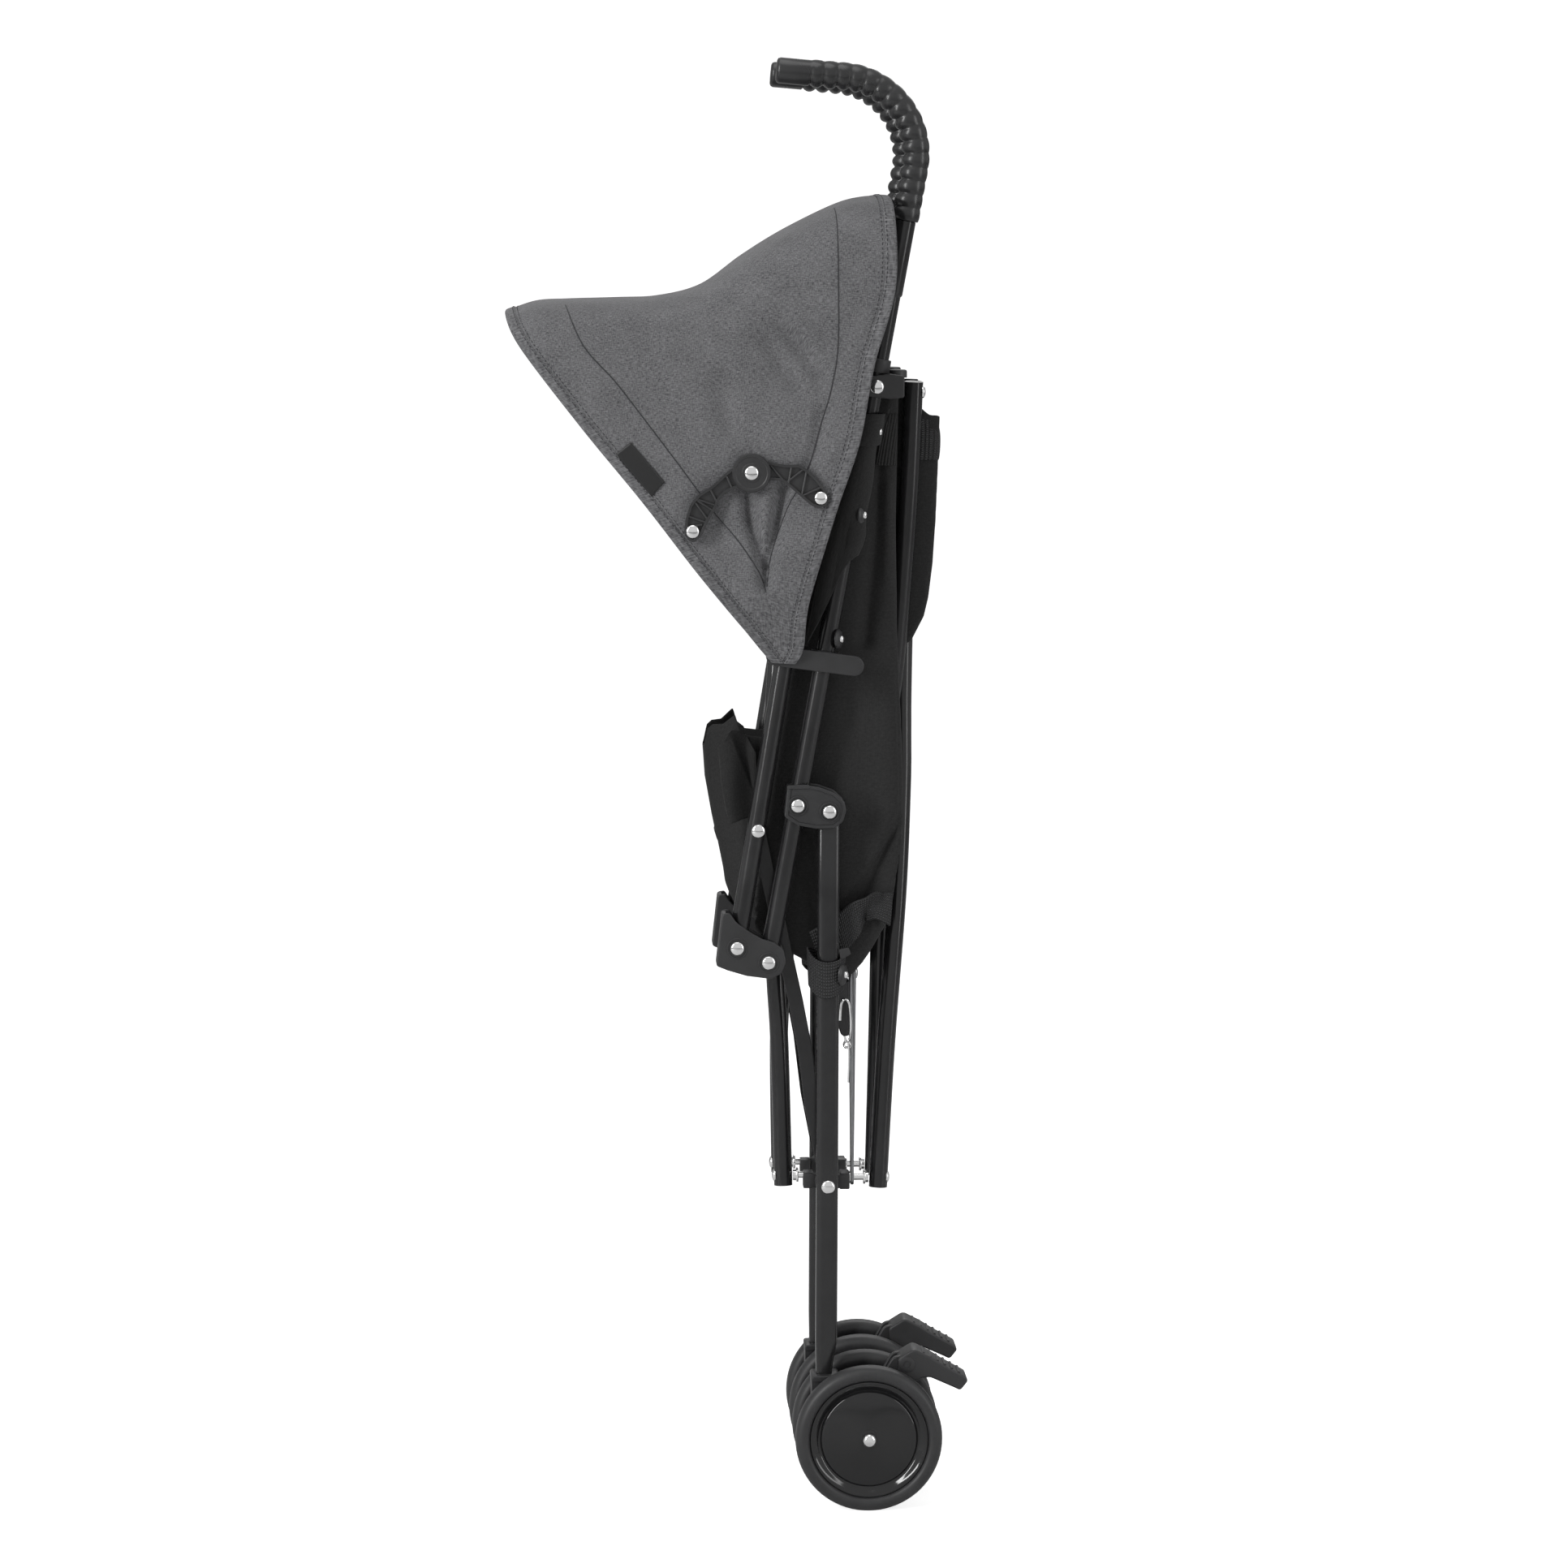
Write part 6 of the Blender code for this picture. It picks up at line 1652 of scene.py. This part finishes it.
def pouch_top(x):
    return interpolate([(-91.5, 573), (-90.6, 576), (-88, 587.4), (-84.3, 590.6), (-76.8, 591.1),
                        (-67.9, 598.5),
                        (-62.7, 583.5), (-50, 582)], x)[0]


def pouch_place(p, q):
    """The pouch's face: p from the left seam round the front to the right, q from foot to top."""
    s, half = folded(p)
    nose = [(444, -62), (462, -71.5), (469, -74.1), (479.4, -75.5), (499, -79.4), (503.5, -80.2),
            (508, -81.6), (521.5, -84.4),
            (550, -89.4), (574, -91), (600, -91)]
    flat = on_path([(-43, 28), (-54, 27.4), (-60, 26.4), (-67, 25), (-76, 19), (-84, 14.5),
                    (-90.4, 11.6), (-91.4, 9.6),
                    (-91.6, 5), (-91.6, 0)], half)
    top = pouch_top(flat.x)
    z = 444.0 + (top - 444.0) * q
    front = interpolate(nose, z)[0]
    x = -43.0 + (flat.x + 43.0) * (front + 43.0) / (-91.6 + 43.0)
    y = flat.y + 1.4 * sin(z / 15.0) * blendin(half, 0.1, 0.4) * (1 - blendin(half, 0.8, 1.0))
    hem = 0.7 * blendin(z, 501.6, 502.4) * (1 - blendin(z, 509.0, 509.8))
    return place(x - hem, z, s * max(y + hem * 0.6, 0.0))


def flap_sheet(s, p, q):
    """The side flap that folds over in front of its leg: p from the leg forward and inward, q up."""
    edge = interpolate([(518, -72), (526, -74.4), (551, -78), (582.2, -80.2), (589.6, -74.3)],
                       518.0 + 72.0 * q)[0]
    rear = -50.0 - 2.0 * q
    lower = [(0, 524.5), (0.42, 521), (0.62, 518.6), (0.72, 526), (1, 528)]
    upper = [(0, 571), (0.2, 583.5), (0.36, 587.5), (0.5, 589.4), (0.58, 588), (0.66, 582.4), (0.8, 584),
             (1, 584)]
    low, high = interpolate(lower, p)[0], interpolate(upper, p)[0]
    z = low + (high - low) * q
    if p < 0.66:
        t = p / 0.66
        x = rear + (edge - rear) * t
        y = 36.6 + 8.4 * blendin(t, 0.1, 0.9)
        crease = (Vector((x, z)) - Vector((-73.2, 588.3))).dot(Vector((0.932, 0.362)))
        y -= 2.6 * blendin(crease, 0.0, 3.0) * blendin(t, 0.05, 0.3)
    else:
        t = (p - 0.66) / 0.34
        x = edge - 1.2 * sin(pi * min(t * 3, 1.0)) + 15.0 * t
        y = 45.0 - 15.5 * t ** 0.8
    return place(x, z, s * (y + 0.5 * sin(z / 9.0 + 5.0 * p)))


# The straps

def ribbon(points, widths, twist, cross, rows=60):
    """A flat strap along points of the frame in millimetres, with its width's direction given
    at shares along it."""
    def laid(p, q):
        spot = on_path(points, q)
        way = Vector(interpolate(twist, q)).normalized()
        return place(spot.x, spot.z, spot.y) + way * (p - 0.5) * interpolate(widths, q)[0] * MM
    long = sum((Vector(b) - Vector(a)).length for a, b in zip(points, points[1:])) * MM
    return cloth_grid(cross, rows, laid, lambda p, q: (p * widths[0][1] * MM, q * long))


def leg_loop(s, p, q):
    """The slack loop of webbing round the rear leg."""
    turn = 2 * pi * p
    front = 0.5 - 0.5 * cos(turn)                  # 1 at the outer side
    x = 0.3 - 13.0 * sin(turn) * (1.0 if sin(turn) > 0 else 0.97)
    y = s * (HALF_TRACK - 0.5 - 9.6 * cos(turn))
    left = max(sin(turn), 0.0)
    middle = 409.5 - 7.0 * front ** 2 + 3.6 * left ** 3
    wide = 25.5 + 1.6 * left
    z = middle + (q - 0.5) * wide - 2.0 * front * cos((x - 0.3) / 9.0) * (1 - q)
    lean = 1.2 * (q - 0.5) * sin(turn)
    return place(x - lean, z, y)


def crotch_strap(s):
    """The strap that comes forward from the seat's low edge and lies down beside the leg."""
    points = [(50, s * 38, 452), (44, s * 40.5, 454.5), (37, s * 42, 455.5), (29.5, s * 43.4, 452.6),
              (20, s * 44.6, 443.5), (10, s * 44.6, 434), (0, s * 43, 428), (-8, s * 42.2, 424)]
    widths = [(0, 25), (0.16, 23), (0.34, 21), (0.5, 27), (0.8, 28), (1, 25)]
    twist = [(0, 0.12, -s * 0.25, 1), (0.16, 0.35, -s * 0.7, 0.9), (0.3, 0.05, s * 0.45, 1),
             (0.45, -0.25, s * 0.1, 1), (1, -0.35, 0, 1)]
    return ribbon(points, widths, twist, 22, 110)


class STROLLER_OT_soft_goods(bpy.types.Operator):
    """Make the seat sling, sleeves, calf pouch, straps and their studs"""

    bl_idname = "stroller.make_soft_goods"
    bl_label = "Seat, calf panel and straps"

    def execute(self, context):
        cloth, web = finish_of("black_polyester"), finish_of("polypropylene_webbing")
        shape = sewn(cloth_grid(260, 236, sling_place, sling_chart), at_middle)
        sling = sheet_piece("seat_sling", shape, cloth, 0.0010, replaces=["left_seat_half",
                                                                                   "right_seat_half"])
        shape = sewn(cloth_grid(120, 40, back_band, lambda p, q: (p * 0.062, q * 0.031)))
        extras = [sheet_piece("seat_top_webbing", shape, web, 0.0012)]
        for side, s in SIDES:
            extras.append(sheet_piece(f"{side}_ribbed_elastic", sewn(ribbed_band(s)), cloth, 0.0006))
            self.sleeve(side, s)
            self.studs(side, s)
            self.loop(side, s)
            shape = sewn(crotch_strap(s))
            strap = sheet_piece(f"{side}_crotch_strap", shape, web, 0.0013, 0.0, body=f"{side}_push")
            declare_sheet(strap, width=0.028)
        declare_sheet(sling, width=0.42)
        for made in [sling, *extras]:
            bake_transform(made)
        shape = sewn(cloth_grid(150, 96, pouch_place, lambda p, q: (p * 0.16, q * 0.13)), at_middle)
        pouch = sheet_piece("calf_pouch", shape, cloth, 0.0009, replaces=["left_calf_half",
                                                                                   "right_calf_half"])
        declare_sheet(pouch, width=0.17)
        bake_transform(pouch)
        for side, s in SIDES:
            shape = sewn(cloth_grid(110, 60, lambda p, q, s=s: flap_sheet(s, p, q), lambda p,
                                    q: (p * 0.045, q * 0.066)))
            flap = sheet_piece(f"{side}_calf_flap", shape, cloth, 0.0010, 0.0,
                               body=f"{side}_front_leg")
            declare_sheet(flap)
        return {"FINISHED"}

    def sleeve(self, side, s):
        """The sleeve round a push tube, with the stitches of its top hem."""
        push = f"{side}_push"
        shape = sewn(cloth_grid(110, 120, lambda p, q: flap_place(s, p, q), lambda p,
                                q: (p * 0.06, q * 0.13)), anywhere)
        made = sheet_piece(f"{side}_seat_sleeve", shape, finish_of("black_polyester"), 0.0012,
                           body=push)
        middle = along(PUSH_FOOT, PUSH_UP, (HEM_STITCH_Z - PUSH_FOOT.y) / PUSH_UP.y)
        line = []
        for k in range(121):
            hem = flap_hem(3.0 * k)
            spot = flap_place(s, k / 120, (HEM_STITCH_Z - hem) / (SLEEVE_TOP - hem))
            line.append((spot, (spot - place(middle.x, HEM_STITCH_Z, s * HALF_TRACK)).normalized()))
        row = piece(f"{side}_sleeve_stitches", stitches(line, 0.0026, 0.0019), finish_of("thread_and_seam_shade"),
                    push,
                    angle=SOFT_ANGLE)
        declare_sheet(made)

    def studs(self, side, s):
        """The three studs that hold the sling to a push tube."""
        pairs = [stud(place(x - 0.6, z, s * y), Vector((0.93, s * 0.36, 0.02)))
                 for x, z, y in ((37.0, 811.8, 53.4), (25.7, 750.0, 53.6), (8.6, 657.8, 54.2))]
        washers, heads = zip(*pairs)
        piece(f"{side}_stud_washers", gather(*washers), finish_of("moulded_nylon"), f"{side}_push")
        piece(f"{side}_stud_screws", gather(*heads), finish_of("chrome_plate"), f"{side}_push")

    def loop(self, side, s):
        """The webbing loop round a rear leg, with its stud and its small tab."""
        leg = f"{side}_rear_leg"
        shape = sewn(cloth_grid(120, 26, lambda p, q: leg_loop(s, p, q), lambda p, q: (q * 0.026, p * 0.075)),
                     anywhere)
        ring = sheet_piece(f"{side}_leg_loop", shape, finish_of("polypropylene_webbing"), 0.0013,
                           body=leg)
        washer, head = stud(place(11.6, 405.3, s * 53.5), Vector((0.93, s * 0.36, -0.03)), 8.6)
        tab = slab([(9.4, 424.6, 1), (16.6, 426, 1), (18.4, 421, 1), (10.6, 416.4, 1)], s * 55.0, s * 56.4,
                   0.4)
        piece(f"{side}_loop_washer", gather(washer, tab), finish_of("moulded_nylon"), leg)
        piece(f"{side}_loop_screw", head, finish_of("chrome_plate"), leg)
        declare_sheet(ring, width=0.026)


# The stage: camera, lights, floor and background

CAMERA_LENS = 108.447                   # mm, on a sensor 36 mm wide
CAMERA_AT = (-0.12675, -3.55, 0.96677)
CAMERA_TILT, CAMERA_PAN = radians(83.20), radians(-2.617)
AIM = Vector((0.05, 0.0, 0.55))
# each lamp's place, its width and height in metres, and its power in watts
LAMPS = {
    "key_softbox": ((-2.6, -2.1, 1.9), (0.5, 2.4), 66.0),
    "right_softbox": ((2.4, -1.5, 1.2), (0.5, 2.2), 14.0),
    "top_softbox": ((-0.2, -0.3, 2.9), (1.8, 1.4), 12.0),
    "back_softbox": ((0.6, 2.6, 2.2), (2.4, 1.2), 17.0),
}
FLOOR_GLOW = 0.83
WORLD_FILL = 0.15
WORLD_MIRRORED = 0.6
FLOOR_FRONT, FLOOR_BACK, FLOOR_TOP, FLOOR_SIDE, COVE_R = -7.0, 3.4, 7.0, 9.0, 1.6


class STROLLER_OT_stage(bpy.types.Operator):
    """Make the pale floor, the white background, the lights and the camera"""

    bl_idname = "stroller.make_stage"
    bl_label = "Stage"

    def execute(self, context):
        scene = context.scene
        colour = scene.stroller_colours.backdrop
        self.floor(scene, colour)
        self.surroundings(scene)
        self.lamps(scene)
        data = bpy.data.cameras.new("product_camera")
        data.sensor_width = 36.0
        data.lens = CAMERA_LENS
        data.clip_end = 60.0
        camera = bpy.data.objects.new("product_camera", data)
        camera.location = CAMERA_AT
        camera.rotation_euler = (CAMERA_TILT, 0.0, CAMERA_PAN)
        scene.collection.objects.link(camera)
        scene.camera = camera
        scene.view_settings.view_transform = "Standard"
        scene.view_settings.look = "None"
        return {"FINISHED"}

    def floor(self, scene, colour):
        # matt studio paper: it takes the shadow, and a little light of its own for the
        # camera keeps the paper white round it
        made, tree, shader = new_finish("studio_paper", colour, 0.9, ior=1.4)
        seen = add(tree, "LightPath").outputs["Is Camera Ray"]
        grain = add(tree, "TexNoise", {"Vector": add(tree, "TexCoord").outputs["Object"],
                                       "Scale": 900.0, "Detail": 2.0})
        rough = add(tree, "MapRange", {"Value": grain, "To Min": 0.86, "To Max": 0.95})
        glow = add(tree, "Math", {0: seen, 1: FLOOR_GLOW}, operation="MULTIPLY")
        shader.inputs["Emission Color"].default_value = (*colour, 1.0)
        tree.links.new(rough.outputs["Result"], shader.inputs["Roughness"])
        tree.links.new(glow.outputs[0], shader.inputs["Emission Strength"])
        work = bmesh.new()
        cove = [(FLOOR_BACK + COVE_R * sin(a), COVE_R - COVE_R * cos(a))
                for a in (k * pi / 32 for k in range(1, 17))]
        profile = [(FLOOR_FRONT, 0), (FLOOR_BACK, 0), *cove, (FLOOR_BACK + COVE_R, FLOOR_TOP)]
        verts = [work.verts.new((-FLOOR_SIDE, y, z)) for y, z in profile]
        edges = [work.edges.new(pair) for pair in zip(verts, verts[1:])]
        grown = bmesh.ops.extrude_edge_only(work, edges=edges)["geom"]
        bmesh.ops.translate(work, vec=(2 * FLOOR_SIDE, 0, 0), verts=verts_of(grown))
        bmesh.ops.recalc_face_normals(work, faces=work.faces)
        mesh = bpy.data.meshes.new("studio_floor")
        work.to_mesh(mesh)
        work.free()
        mesh.shade_smooth()
        mesh.materials.append(made)
        made = bpy.data.objects.new("studio_floor", mesh)
        scene.collection.objects.link(made)

    def surroundings(self, scene):
        world = bpy.data.worlds.new("white_studio")
        scene.world = world
        world.use_nodes = True
        tree = world.node_tree
        tree.nodes.clear()
        path = add(tree, "LightPath")
        mirrored = add(tree, "Math", {0: path.outputs["Is Glossy Ray"], 1: WORLD_MIRRORED,
                                      2: path.outputs["Is Camera Ray"]},
                       operation="MULTIPLY_ADD")
        seen = add(tree, "Math", {0: mirrored, 1: path.outputs["Is Transmission Ray"]}, operation="MAXIMUM")
        fill = add(tree, "Background", {"Color": (1.0, 1.0, 1.0, 1.0), "Strength": WORLD_FILL})
        white = add(tree, "Background", {"Color": (1.0, 1.0, 1.0, 1.0), "Strength": 1.0})
        mixed = add(tree, "MixShader", {"Fac": seen, 1: fill, 2: white})
        add(tree, "OutputWorld", {"Surface": mixed})

    def lamps(self, scene):
        for name, (spot, size, power) in LAMPS.items():
            data = bpy.data.lights.new(name, "AREA")
            data.shape = "RECTANGLE"
            data.size, data.size_y = size
            data.energy = power
            lamp = bpy.data.objects.new(name, data)
            lamp.location = spot
            lamp.rotation_euler = (AIM - Vector(spot)).to_track_quat("-Z", "Y").to_euler()
            scene.collection.objects.link(lamp)


class STROLLER_PT_panel(bpy.types.Panel):
    """Lists the stroller's sizes, colours and pieces"""

    bl_idname = "STROLLER_PT_panel"
    bl_label = "Umbrella stroller"
    bl_space_type = "VIEW_3D"
    bl_region_type = "UI"
    bl_category = "Stroller"

    def draw(self, context):
        for group in (context.scene.stroller_sizes, context.scene.stroller_colours):
            column = self.layout.column(align=True)
            for name in group.__annotations__:
                column.prop(group, name)
        column = self.layout.column(align=True)
        for operator in OPERATORS:
            column.operator(operator.bl_idname)


OPERATORS = (STROLLER_OT_finishes, STROLLER_OT_tubes, STROLLER_OT_grips, STROLLER_OT_brackets,
             STROLLER_OT_wheels,
             STROLLER_OT_lock, STROLLER_OT_canopy, STROLLER_OT_struts, STROLLER_OT_soft_goods,
             STROLLER_OT_stage)
CLASSES = (StrollerSizes, StrollerColours, *OPERATORS, STROLLER_PT_panel)


def register():
    for made in CLASSES:
        bpy.utils.register_class(made)
    bpy.types.Scene.stroller_sizes = bpy.props.PointerProperty(type=StrollerSizes)
    bpy.types.Scene.stroller_colours = bpy.props.PointerProperty(type=StrollerColours)


def unregister():
    del bpy.types.Scene.stroller_colours
    del bpy.types.Scene.stroller_sizes
    for made in reversed(CLASSES):
        bpy.utils.unregister_class(made)


def main():
    register()
    for operator in OPERATORS:
        group, name = operator.bl_idname.split(".")
        getattr(getattr(bpy.ops, group), name)()


if __name__ == "__main__":
    main()
